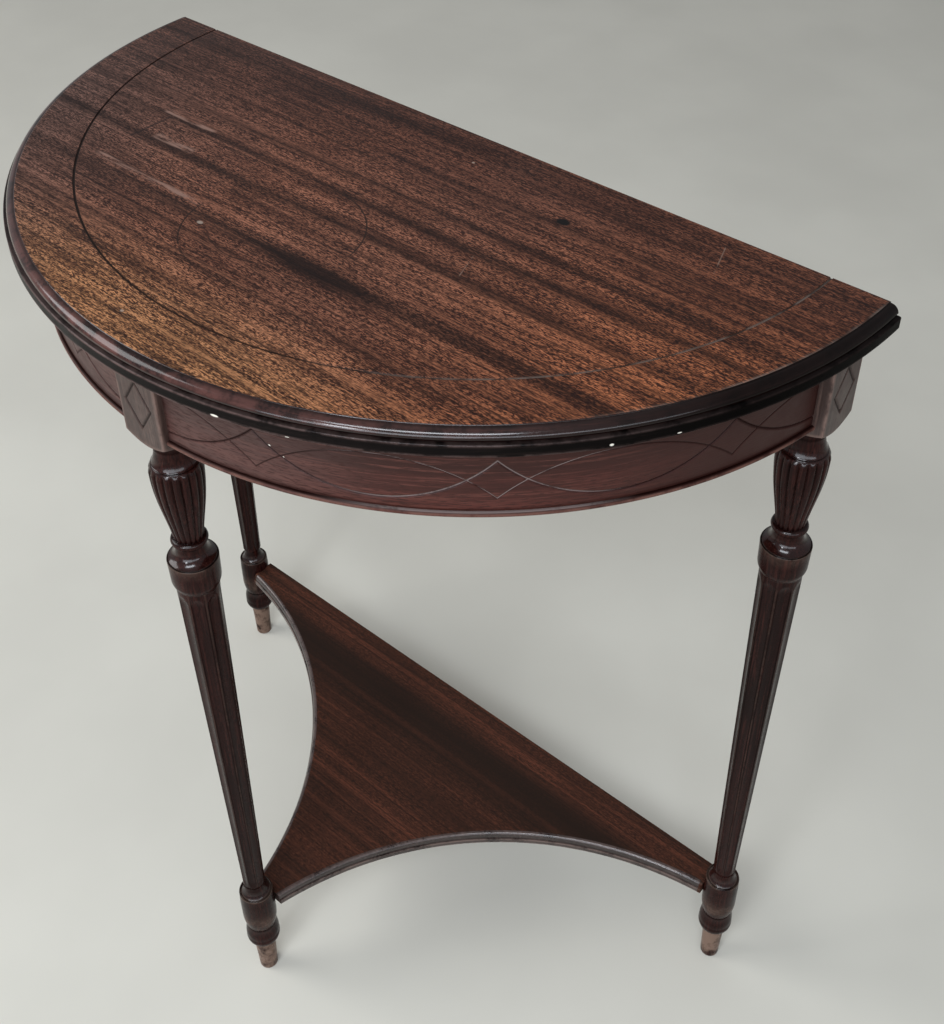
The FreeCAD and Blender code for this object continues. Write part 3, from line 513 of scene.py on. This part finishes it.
def block_part(name, neck):
    """The shoulder over the neck and the block with its incised diamond, and the block's wear, dirt and
    painted shadow.
    """
    ring = block_ring()
    plans = [(1 - part) * neck + part * ring for part in np.linspace(0, 1, SHOULDER_ROWS + 1)[1:]]
    shoulder = np.stack([np.column_stack([plan, shoulder_rise(plan)]) for plan in plans])
    low = shoulder_rise(ring)
    levels = np.concatenate([LOW_SHARES, np.linspace(*CARVED_SHARES), HIGH_SHARES])
    block = np.stack([np.column_stack([ring, low + part * (UNDERSIDE - low)]) for part in levels])
    out = np.array(BLOCK_FACES[name])
    across = block[..., 0] * out[1] - block[..., 1] * out[0]
    outward = block[..., 0] * out[0] + block[..., 1] * out[1]
    slant = abs(across) / DIAMOND_HALF_WIDTH + abs(block[..., 2] - DIAMOND_Z) / DIAMOND_HALF_HEIGHT - 1
    line = abs(slant) / math.hypot(1 / DIAMOND_HALF_WIDTH, 1 / DIAMOND_HALF_HEIGHT)
    cut = np.where(outward > BLOCK_HALF - BLOCK_MARGIN, v_cut(line, BLOCK_LINE_HALF), 0)
    block[..., :2] -= BLOCK_LINE_DEPTH * cut[..., None] * out
    inside = BLOCK_HALF * math.sqrt(2) - CORNER_INSET - np.hypot(*ring.T)
    corner = np.clip(1 - inside / CORNER_FADE, 0, 1)
    wear = BLOCK_WEAR * np.clip(corner + marks(levels, BLOCK_FOOT_WEAR)[:, None], 0, 1)
    # The cut diamond is darkened, with a painted shadow under the top
    dirt = np.clip(cut + marks(block[..., 2], BLOCK_SHADOW_UNDER_TOP), 0, 1)
    return shoulder, block, wear, dirt


def make_leg(name, turned_wood, block_wood):
    """One turned leg: a block with an incised diamond, a reeded vase, a fluted taper, a collar and a foot."""
    turned, turned_wear, turned_dirt = turned_part(name)
    shoulder, block, block_wear, block_dirt = block_part(name, turned[-1, :, :2])
    local = np.concatenate([turned, shoulder, block])
    clean = np.zeros(shoulder.shape[:2])
    wear = np.concatenate([turned_wear, clean, block_wear])
    # Dirt and painted shade of the turnings, the shoulder and the block
    dirt = np.concatenate([turned_dirt, clean + SHOULDER_SHADE, block_dirt])
    axis_x, axis_y = LEG_AXES[name]
    points = local + np.array([axis_x, axis_y, 0])
    grain = local[..., [2, 0, 1]] + np.array([axis_x * GRAIN_SPREAD, axis_y, 0])
    look = np.where(np.arange(len(local) - 1) < len(turned) + 1, 0, 1)[:, None]
    piece = Piece(f"{name}_look", [name], "mahogany_dark", turned_wood, block_wood)
    piece.grid(points, wear, dirt, grain, look)
    return piece.finish()


def shelf_ring(reach):
    """The shelf's outline, grown by so much at its hollow fronts."""
    front, tip = SHELF_FRONT - reach, SHELF_TIP + reach
    left = arc((-SHELF_END_X, front), (-tip, SHELF_END_Y), -SHELF_SWEEP, SHELF_STEPS)
    right = arc((tip, SHELF_END_Y), (SHELF_END_X, front), -SHELF_SWEEP, SHELF_STEPS)
    ends = [(-SHELF_END_X, SHELF_BACK), (-SHELF_END_X, front)]
    return np.array([*ends, *left, (tip, SHELF_END_Y), *right, (SHELF_END_X, SHELF_BACK)])


def make_shelf(face_wood, edge_wood):
    """A three-cornered shelf with hollow fronts, whose edge is a round over a narrow band."""
    section = SHELF_BAND + SHELF_GROOVE
    for angle in np.radians(np.arange(0, 91, 10)):
        height = SHELF_TOP - SHELF_ROUND + SHELF_ROUND * math.sin(angle)
        section.append((SHELF_ROUND * math.cos(angle), height))
    rings = np.stack([np.insert(shelf_ring(reach), 2, height, axis=1) for reach, height in section])
    height = np.array(section)[:, 1, None]
    hollow_front = abs(rings[..., 0]) < SHELF_END_X - SHELF_END_MARGIN
    look = np.where(hollow_front & np.roll(hollow_front, -1, axis=1), 1, 0)[:-1]
    piece = Piece("shelf_look", ["shelf"], "mahogany_top", face_wood, edge_wood)
    piece.grid(rings, marks(height, SHELF_WEAR), marks(height, SHELF_DIRT), None, look)
    return piece.finish()


class Shade:
    """A material in the making, with short names for the shader nodes that it uses."""

    def __init__(self, name):
        self.material = bpy.data.materials.new(name)
        self.material.use_nodes = True
        self.tree = self.material.node_tree
        self.surface = self.tree.nodes["Principled BSDF"]

    def add(self, kind, **settings):
        node = self.tree.nodes.new(kind)
        for key, setting in settings.items():
            setattr(node, key, setting)
        return node

    def feed(self, socket, source):
        if isinstance(source, bpy.types.NodeSocket):
            self.tree.links.new(source, socket)
        else:
            socket.default_value = source

    def sum(self, operation, *terms):
        node = self.add("ShaderNodeMath", operation=operation, use_clamp=operation == "ADD")
        for socket, term in zip(node.inputs, terms):
            self.feed(socket, term)
        return node.outputs[0]

    def product(self, first, *others):
        for other in others:
            node = self.add("ShaderNodeMath", operation="MULTIPLY")
            self.feed(node.inputs[0], first)
            self.feed(node.inputs[1], other)
            first = node.outputs[0]
        return first

    def mix(self, share, first, second):
        node = self.add("ShaderNodeMix", data_type="RGBA", blend_type="MIX")
        for index, term in ((0, share), (6, first), (7, second)):
            self.feed(node.inputs[index], term if not isinstance(term, tuple) else (*term, 1.0))
        return node.outputs[2]

    def stretch(self, place, scale, offset=(0, 0, 0)):
        node = self.add("ShaderNodeMapping")
        self.feed(node.inputs["Vector"], place)
        node.inputs["Scale"].default_value = scale
        node.inputs["Location"].default_value = offset
        return node.outputs[0]

    def noise(self, place, detail=2.0, roughness=0.5, distortion=0.0):
        node = self.add("ShaderNodeTexNoise")
        self.feed(node.inputs["Vector"], place)
        node.inputs["Scale"].default_value = 1.0
        node.inputs["Detail"].default_value = detail
        node.inputs["Roughness"].default_value = roughness
        node.inputs["Distortion"].default_value = distortion
        return node.outputs[0]

    def ramp(self, value, low, high, first=0.0, second=1.0, smooth=True):
        """Leads a value between two levels over to a first and a second level."""
        node = self.add("ShaderNodeMapRange", interpolation_type="SMOOTHSTEP" if smooth else "LINEAR")
        self.feed(node.inputs["Value"], value)
        self.feed(node.inputs["From Min"], low)
        self.feed(node.inputs["From Max"], high)
        self.feed(node.inputs["To Min"], first)
        self.feed(node.inputs["To Max"], second)
        return node.outputs[0]

    def bands(self, value, stops):
        node = self.add("ShaderNodeValToRGB")
        scale = node.color_ramp
        scale.interpolation = "EASE"
        for index, (position, level) in enumerate(stops):
            stop = scale.elements[index] if index < 2 else scale.elements.new(position)
            stop.position, stop.color = position, (level, level, level, 1.0)
        self.feed(node.inputs[0], value)
        return node.outputs[0]

    def spot(self, place, centre, size, soft):
        """1 within an oval on the plan, falling to 0 over its soft share."""
        (x, y), (half_x, half_y) = centre, size
        shifted = self.stretch(place, (1 / half_x, 1 / half_y, 0), (-x / half_x, -y / half_y, 0))
        node = self.add("ShaderNodeVectorMath", operation="LENGTH")
        self.feed(node.inputs[0], shifted)
        return self.ramp(node.outputs["Value"], 1 - soft, 1, 1.0, 0.0)

    def stroke(self, along, across, ends, middle, half_width):
        """A soft line that runs between two ends along one coordinate, at a place across it."""
        off = self.sum("ABSOLUTE", self.sum("SUBTRACT", across, middle))
        low, high = ends
        blur = STROKE_BLUR * (high - low)
        starts = self.ramp(along, low, low + blur)
        stops = self.ramp(along, high - blur, high, 1.0, 0.0)
        return self.product(self.ramp(off, STROKE_CORE * half_width, half_width, 1.0, 0.0), starts, stops)

    def mark(self, name):
        return self.add("ShaderNodeAttribute", attribute_name=name).outputs["Fac"]

    def grain(self):
        return self.add("ShaderNodeAttribute", attribute_name="grain").outputs["Vector"]

    def place(self):
        return self.add("ShaderNodeTexCoord").outputs["Object"]

    def parts(self, place):
        node = self.add("ShaderNodeSeparateXYZ")
        self.feed(node.inputs[0], place)
        return node.outputs[0], node.outputs[1], node.outputs[2]

    def bump(self, height, strength, distance):
        node = self.add("ShaderNodeBump")
        self.feed(node.inputs["Height"], height)
        node.inputs["Strength"].default_value = strength
        node.inputs["Distance"].default_value = distance
        self.tree.links.new(node.outputs[0], self.surface.inputs["Normal"])

    def finish(self, colour, roughness, coat=0.0, coat_roughness=0.2, specular=0.5):
        self.feed(self.surface.inputs["Base Color"], colour)
        self.feed(self.surface.inputs["Roughness"], roughness)
        self.feed(self.surface.inputs["Coat Weight"], coat)
        self.surface.inputs["Coat Roughness"].default_value = coat_roughness
        self.feed(self.surface.inputs["Specular IOR Level"], specular)
        return self.material


def swayed(shade, place, turn):
    """The place, moved a little across the grain so that stripes wander along their length."""
    sway = shade.noise(shade.stretch(place, (1.8, 5, 5), (turn, 0, 0)))
    offset = shade.add("ShaderNodeCombineXYZ")
    shade.feed(offset.inputs[1], shade.product(shade.sum("SUBTRACT", sway, 0.5), 0.011))
    moved = shade.add("ShaderNodeVectorMath", operation="ADD")
    shade.feed(moved.inputs[0], place)
    shade.feed(moved.inputs[1], offset.outputs[0])
    return moved.outputs[0]


def ribbon_figure(shade, place, moved, stripe, tones, flecks, turn):
    """Mahogany with dark stripes, thin streaks, pale flecks and dark pores: its colour and pore height."""
    dark, middle, light = tones
    streak = shade.noise(shade.stretch(moved, (5, 480, 480), (turn, 0, 0)), roughness=0.6)
    line = shade.noise(shade.stretch(moved, (3, 170, 170), (turn, 5, 0)), detail=3)
    mottle = shade.noise(shade.stretch(moved, (10, 80, 80), (0, turn, 0)))
    fleck = shade.noise(shade.stretch(place, (360, 1850, 1850), (turn, 0, 0)), detail=1.0, distortion=0.2)
    pore = shade.noise(shade.stretch(place, (130, 1500, 1500), (turn, 3, 0)), detail=1.0)
    bright = shade.sum("SUBTRACT", 1.0, shade.product(stripe, 0.95))
    colour = shade.mix(stripe, middle, dark)
    colour = shade.mix(shade.product(shade.ramp(line, 0.5, 0.66), bright, 0.4), colour, light)
    mottled = shade.ramp(mottle, 0.3, 0.62, 0.45, 1.0)
    colour = shade.mix(shade.product(shade.ramp(fleck, 0.47, 0.545), mottled, bright, flecks), colour, light)
    colour = shade.mix(shade.product(shade.ramp(streak, 0.5, 0.64), 0.6), colour, dark)
    colour = shade.mix(shade.product(shade.ramp(pore, 0.52, 0.6), 0.7), colour, dark)
    return colour, shade.ramp(pore, 0.5, 0.66, 1.0, 0.0)


def broken_noise(shade, place):
    """Small patches that break a scratch or a line up along its length."""
    return shade.noise(shade.stretch(place, (60, 60, 60), (2, 0, 0)), detail=3)


def top_wood():
    """The top's face: ribbon mahogany, golden in front and greyer at the left with a painted sheen, marked by
    long use.
    """
    shade = Shade("top_mahogany")
    place = shade.place()
    moved = swayed(shade, place, 0.0)
    x, y, _ = shade.parts(place)
    _, across, _ = shade.parts(moved)
    front = shade.ramp(y, *FRONT_REGION)
    left = shade.ramp(x, *LEFT_SHEEN_REGION)
    right = shade.ramp(x, *RIGHT_REGION)
    level = shade.sum("SUBTRACT", across, shade.product(x, STRIPE_SLOPE))
    stripe = shade.bands(shade.ramp(level, BOARD_FRONT, BOARD_BACK, smooth=False), TOP_STRIPES)
    long_noise = shade.noise(shade.stretch(moved, (1.2, 42, 42), (5, 1, 0)))
    stripe = shade.sum("ADD", stripe, shade.ramp(long_noise, 0.52, 0.8, 0.0, 0.35))
    stain = shade.spot(place, STAIN_CENTRE, STAIN_SIZE, soft=1.0)
    stripe = shade.sum("ADD", stripe, shade.product(stain, 0.4))
    # A painted sheen weakens the stripes and greys the tones at the left
    stripe = shade.product(stripe, shade.ramp(left, 0, 1, 1.0, 0.7))
    middle = shade.mix(left, shade.mix(front, GROUND, GROUND_FRONT), GROUND_LEFT_SHEEN)
    light = shade.mix(left, shade.mix(front, FLECK, FLECK_FRONT), FLECK_LEFT_SHEEN)
    light = shade.mix(right, light, FLECK_RIGHT)
    light = shade.mix(shade.ramp(y, *BACK_REGION, 0.0, 0.7), light, FLECK_BACK)
    tones = TOP_DARK, middle, light
    colour, pores = ribbon_figure(shade, place, moved, stripe, tones, flecks=1.0, turn=0.0)
    colour = top_marks(shade, place, colour)
    haze = shade.noise(shade.stretch(place, (9, 9, 9)), detail=3)
    patches = shade.ramp(broken_noise(shade, place), 0.36, 0.6, 0.15, 1.0)
    line = shade.mix(shade.product(shade.ramp(x, *CHALK_REGION), patches), LINE_DARK, LINE_CHALK)
    colour = shade.mix(shade.product(shade.mark("dirt"), 0.95), colour, line)
    shade.bump(pores, strength=0.12, distance=0.0004)
    return shade.finish(colour, shade.ramp(haze, 0.3, 0.7, 0.34, 0.5), specular=0.12)


def top_marks(shade, place, colour):
    """Scratches, rubs and a small burn on the top, laid over its colour."""
    x, y, _ = shade.parts(place)
    broken = broken_noise(shade, place)
    rubbed = shade.ramp(shade.noise(shade.stretch(place, (45, 400, 1)), detail=3), 0.34, 0.6)

    ring_x, ring_y = (shade.sum("SUBTRACT", part, middle) for part, middle in zip((x, y), RING_CENTRE))
    out = shade.sum("SQRT", shade.sum("ADD", shade.product(ring_x, ring_x), shade.product(ring_y, ring_y)))
    angle = shade.sum("ARCTAN2", ring_y, ring_x)
    for ends in RING_ENDS:
        line = shade.stroke(angle, out, ends, RING_RADIUS, RING_HALF)
        colour = shade.mix(shade.product(line, shade.ramp(broken, 0.3, 0.5, 0.35, 0.9)), colour, SCRATCH)
    wave = shade.product(shade.sum("SINE", shade.product(x, WAVE_RATE)), WAVE_HEIGHT)
    squiggle = shade.stroke(x, shade.sum("SUBTRACT", y, wave), WAVE_ENDS, WAVE_MIDDLE, WAVE_HALF)
    colour = shade.mix(shade.product(squiggle, 0.7), colour, SCRATCH)
    dent = shade.stroke(y, x, DENT_ENDS, DENT_MIDDLE, DENT_HALF)
    colour = shade.mix(shade.product(dent, 0.7), colour, DENT)
    for ends, middle, half_width in PALE_RUBS:
        rub = shade.product(shade.stroke(x, y, ends, middle, half_width), rubbed)
        colour = shade.mix(shade.product(rub, 0.9), colour, RUB)
    slanting = shade.sum("ADD", x, shade.product(y, CROSS_SLANT))
    for ends, middle in CROSS_SCRATCHES:
        scratch = shade.stroke(y, slanting, ends, middle, CROSS_HALF)
        colour = shade.mix(shade.product(scratch, shade.ramp(broken, 0.35, 0.6)), colour, PALE_SCRATCH)
    for centre, size in PALE_SPECKS:
        colour = shade.mix(shade.product(shade.spot(place, centre, size, soft=0.5), 0.85), colour, SPECK)
    return shade.mix(shade.spot(place, BURN_CENTRE, BURN_SIZE, soft=0.35), colour, BURN)


def shelf_wood():
    """The shelf: the same mahogany, darker and redder, with a dull old polish."""
    shade = Shade("shelf_mahogany")
    place = shade.place()
    moved = swayed(shade, place, 4.0)
    _, across, _ = shade.parts(moved)
    stripe = shade.bands(shade.ramp(across, BOARD_FRONT, BOARD_BACK, smooth=False), SHELF_STRIPES)
    colour, pores = ribbon_figure(shade, place, moved, stripe, SHELF_TONES, flecks=0.45, turn=2.0)
    colour = shade.mix(shade.product(shade.mark("dirt"), 0.85), colour, SHELF_GRIME)
    colour = shade.mix(shade.product(shade.mark("wear"), 0.6), colour, SHELF_WORN)
    haze = shade.noise(shade.stretch(place, (9, 9, 9)), detail=3)
    shade.bump(pores, strength=0.12, distance=0.0004)
    return shade.finish(colour, shade.ramp(haze, 0.3, 0.7, 0.36, 0.5), specular=0.08)


def paint_chips(shade, colour, grain, radius, offset, chips):
    """Small chips of old white paint along a curved face, laid over its colour."""
    for degrees, height, half_length, half_height in chips:
        centre = ((radius * math.radians(degrees) + offset) * MM, height * MM)
        chip = shade.spot(grain, centre, (half_length * MM, half_height * MM), soft=0.4)
        colour = shade.mix(chip, colour, WHITE_PAINT)
    return colour


def dark_wood(name, tones, rough, gloss, chips=None, greyer_front=None, dust=None):
    """Dark polished wood with grain along the piece, dull dirt and painted shade, rubbed edges and painted
    glints.

    The tones are deep, middle, light and worn. The gloss is the weight of the polish on upright and on upward
    faces, and the shine of the wood below it.
    """
    shade = Shade(name)
    deep, middle, light, worn = tones
    grain, place = shade.grain(), shade.place()
    dirt, wear = shade.mark("dirt"), shade.mark("wear")
    streak = shade.noise(shade.stretch(grain, (16, 560, 560)), detail=3, roughness=0.6)
    broad = shade.noise(shade.stretch(grain, (2.5, 34, 34), (1, 2, 3)))
    pore = shade.noise(shade.stretch(grain, (150, 1300, 1300)), detail=1.5)
    patch = shade.noise(shade.stretch(place, (48, 48, 48)), detail=4, roughness=0.7)
    colour = shade.mix(shade.ramp(broad, 0.32, 0.68), deep, middle)
    colour = shade.mix(shade.product(shade.ramp(streak, 0.5, 0.66), 0.6), colour, light)
    colour = shade.mix(shade.product(shade.ramp(streak, 0.5, 0.34), 0.55), colour, deep)
    _, y, _ = shade.parts(place)
    # Greyer towards the front, and painted shade darkening the wood towards the back
    if greyer_front:
        colour = shade.mix(shade.ramp(y, *GREYER_FRONT_REGION, 0.0, 0.45), colour, greyer_front)
        colour = shade.mix(shade.ramp(y, *SHADED_BACK_REGION, 0.0, 0.95), colour, deep)
    colour = shade.mix(shade.product(shade.ramp(pore, 0.52, 0.62), 0.75), colour, deep)
    # Rubbed edges take the worn tone, which on the band's arrises is also a painted glint
    colour = shade.mix(shade.product(wear, shade.ramp(patch, 0.34, 0.58)), colour, worn)
    # Dirt darkens the colour towards a quarter of the deep tone, and so does painted shade where it is marked
    colour = shade.mix(shade.product(dirt, 0.92), colour, tuple(part * 0.25 for part in deep))
    # The pale dust tone in the lines between front and middle also paints their highlight
    if dust:
        between = shade.product(shade.ramp(y, *DUST_AND_HIGHLIGHT_START), shade.ramp(y, *DUST_AND_HIGHLIGHT_END))
        dust_and_highlight = shade.product(between, shade.ramp(patch, 0.3, 0.5), shade.ramp(dirt, 0.5, 0.75), 0.8)
        colour = shade.mix(dust_and_highlight, colour, dust)
    if chips:
        colour = paint_chips(shade, colour, grain, *chips)
    shade.bump(shade.ramp(pore, 0.5, 0.7, 1.0, 0.0), strength=0.1, distance=0.0004)
    low, high = rough
    upright_coat, upward_coat, specular = gloss
    _, _, upward = shade.parts(shade.add("ShaderNodeNewGeometry").outputs["Normal"])
    coat = shade.ramp(upward, 0.1, 0.5, upright_coat, upward_coat)
    dull = shade.sum("MAXIMUM", shade.product(dirt, 0.85), shade.product(wear, 0.5))
    polish = shade.sum("SUBTRACT", 1.0, dull)
    return shade.finish(
        colour, shade.ramp(patch, 0.3, 0.7, low, high),
        coat=shade.product(polish, coat), coat_roughness=0.13, specular=shade.product(polish, specular),
    )


def rail_wood():
    """Plain unpolished secondary wood for the rail and the glue blocks behind the aprons."""
    shade = Shade("rail_wood")
    place = shade.place()
    streak = shade.noise(shade.stretch(place, (4, 110, 110)), detail=3, roughness=0.6)
    broad = shade.noise(shade.stretch(place, (1.4, 20, 20), (3, 1, 2)))
    dust = shade.noise(shade.stretch(place, (30, 30, 30)), detail=4)
    colour = shade.mix(shade.ramp(broad, 0.3, 0.7), *RAIL_TONES)
    colour = shade.mix(shade.product(shade.ramp(streak, 0.5, 0.7), 0.5), colour, RAIL_STREAK)
    colour = shade.mix(shade.ramp(dust, 0.5, 0.75, 0.0, 0.4), colour, RAIL_DUST)
    shade.bump(streak, strength=0.2, distance=0.0006)
    return shade.finish(colour, shade.ramp(dust, 0.3, 0.7, 0.6, 0.8), specular=0.3)


def floor_paint():
    """A plain pale floor with the faintest cloudiness."""
    shade = Shade("pale_floor")
    cloud = shade.noise(shade.stretch(shade.place(), (3, 3, 3)), detail=4)
    colour = shade.mix(shade.ramp(cloud, 0.3, 0.7), *FLOOR_TONES)
    return shade.finish(colour, shade.ramp(cloud, 0.3, 0.7, 0.7, 0.85), specular=0.2)


top_face, shelf_face, plain = top_wood(), shelf_wood(), rail_wood()
edge = dark_wood(
    "edge_mahogany",
    tones=[(0.006, 0.0028, 0.0026), (0.017, 0.0065, 0.0055), (0.032, 0.012, 0.010), (0.13, 0.052, 0.043)],
    rough=(0.14, 0.22),
    gloss=(0.95, 0.95, 0.15),
)
# The band's pale worn tone on its arrises is partly a painted glint
band = dark_wood(
    "band_mahogany",
    tones=[(0.002, 0.0012, 0.0012), (0.005, 0.003, 0.003), (0.010, 0.006, 0.0055), (0.17, 0.11, 0.10)],
    rough=(0.3, 0.42),
    gloss=(0.0, 0.3, 0.06),
    chips=(TOP_RADIUS, 2 * math.pi * TOP_RADIUS, EDGE_CHIPS),
)
apron = dark_wood(
    "apron_mahogany",
    tones=[(0.030, 0.009, 0.007), (0.078, 0.021, 0.016), (0.115, 0.040, 0.030), (0.15, 0.072, 0.055)],
    rough=(0.36, 0.5),
    gloss=(0.0, 0.0, 0.2),
    chips=(APRON_OUTSIDE, APRON_OUTSIDE * -PATTERN_MIDDLE + APRON_SHIFT, APRON_CHIPS),
    # A greyer tone in front; the dust tone also paints the highlight of the incised lines
    greyer_front=(0.10, 0.062, 0.056),
    dust=(0.21, 0.165, 0.155),
)
turning = dark_wood(
    "leg_mahogany",
    tones=[(0.007, 0.002, 0.0018), (0.022, 0.0056, 0.0046), (0.040, 0.0118, 0.009), (0.20, 0.132, 0.10)],
    rough=(0.2, 0.32),
    gloss=(0.06, 0.75, 0.06),
)
shelf_edge = dark_wood(
    "shelf_edge_mahogany",
    tones=[(0.016, 0.010, 0.009), (0.034, 0.021, 0.019), (0.07, 0.045, 0.04), (0.20, 0.14, 0.12)],
    rough=(0.24, 0.36),
    gloss=(0.4, 0.6, 0.4),
)
block = dark_wood(
    "block_mahogany",
    tones=[(0.028, 0.0145, 0.012), (0.058, 0.032, 0.026), (0.095, 0.058, 0.047), (0.18, 0.115, 0.095)],
    rough=(0.36, 0.5),
    gloss=(0.0, 0.0, 0.45),
)

make_top(top_face, edge, band)
for side, mirror in (("left", -1), ("right", 1)):
    make_apron(side, mirror, apron)
    make_bead(side, mirror, apron)
for name in LEG_AXES:
    make_leg(name, turning, block)
make_shelf(shelf_face, shelf_edge)
for name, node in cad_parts.items():
    if name == "back_rail" or name.startswith("glue_block"):
        node.data.materials.clear()
        node.data.materials.append(plain)

# Floor, light and camera
bpy.ops.mesh.primitive_plane_add(size=FLOOR_SIZE)
floor = bpy.context.object
floor.name = "floor"
floor.data.materials.append(floor_paint())

world = bpy.data.worlds.new("studio")
bpy.context.scene.world = world
world.use_nodes = True
sky = world.node_tree.nodes
fill = sky["Background"]
fill.inputs["Color"].default_value = FILL_COLOUR
fill.inputs["Strength"].default_value = FILL_STRENGTH
backdrop = sky.new("ShaderNodeBackground")
backdrop.inputs["Color"].default_value = BACKDROP_COLOUR
backdrop.inputs["Strength"].default_value = BACKDROP_STRENGTH
seen, either = sky.new("ShaderNodeLightPath"), sky.new("ShaderNodeMixShader")
for source, target in (
    (seen.outputs["Is Camera Ray"], either.inputs[0]),
    (fill.outputs[0], either.inputs[1]),
    (backdrop.outputs[0], either.inputs[2]),
    (either.outputs[0], sky["World Output"].inputs["Surface"]),
):
    world.node_tree.links.new(source, target)


def softbox(name, place, aim, size, power, colour):
    """A large soft lamp that looks from its place at its aim, both in metres."""
    lamp = bpy.data.lights.new(name, "AREA")
    lamp.shape, lamp.size, lamp.size_y = "RECTANGLE", *size
    lamp.energy, lamp.color = power, colour
    holder = bpy.data.objects.new(name, lamp)
    holder.location = place
    holder.rotation_mode = "QUATERNION"
    holder.rotation_quaternion = (Vector(aim) - Vector(place)).to_track_quat("-Z", "Y")
    bpy.context.scene.collection.objects.link(holder)


softbox("left_light", (-2.2, -1.6, 2.2), (0, 0, 0.6), size=(1.8, 1.8), power=48, colour=WHITE)
softbox("front_panel", (0.585, -2.095, 1.0), (-0.7, -0.56, 0.9), size=(2.0, 0.5), power=15, colour=DAYLIGHT)
softbox("right_panel", (2.115, -0.807, 1.0), (0.83, 0.725, 0.9), size=(2.0, 0.3), power=8, colour=DAYLIGHT)
softbox("window_light", (0.6, -2.5, 1.5), (0, -0.1, 0.6), size=(0.35, 0.35), power=9, colour=WINDOW)
softbox("sky_light", (0.92, -1.65, 2.43), (0.1, -0.1, 0.7), size=(1.6, 0.5), power=34, colour=SKY)

ahead = Vector((-math.sin(YAW) * math.cos(PITCH), math.cos(YAW) * math.cos(PITCH), -math.sin(PITCH)))
level = Vector((math.cos(YAW), math.sin(YAW), 0))
above = level.cross(ahead)
right = level * math.cos(ROLL) + above * math.sin(ROLL)
up = above * math.cos(ROLL) - level * math.sin(ROLL)
lens = bpy.data.cameras.new("photo_camera")
lens.sensor_width = SENSOR
lens.lens = FOCAL_PIXELS * SENSOR / PHOTO_HEIGHT
lens.shift_x = (PHOTO_WIDTH / 2 - CENTRE_X) / PHOTO_HEIGHT
lens.shift_y = (CENTRE_Y - PHOTO_HEIGHT / 2) / PHOTO_HEIGHT
camera = bpy.data.objects.new("photo_camera", lens)
camera.matrix_world = Matrix.Translation(CAMERA_PLACE) @ Matrix((right, up, -ahead)).transposed().to_4x4()
bpy.context.scene.collection.objects.link(camera)
bpy.context.scene.camera = camera
bpy.context.scene.view_settings.view_transform = "Standard"

bpy.context.view_layer.update()
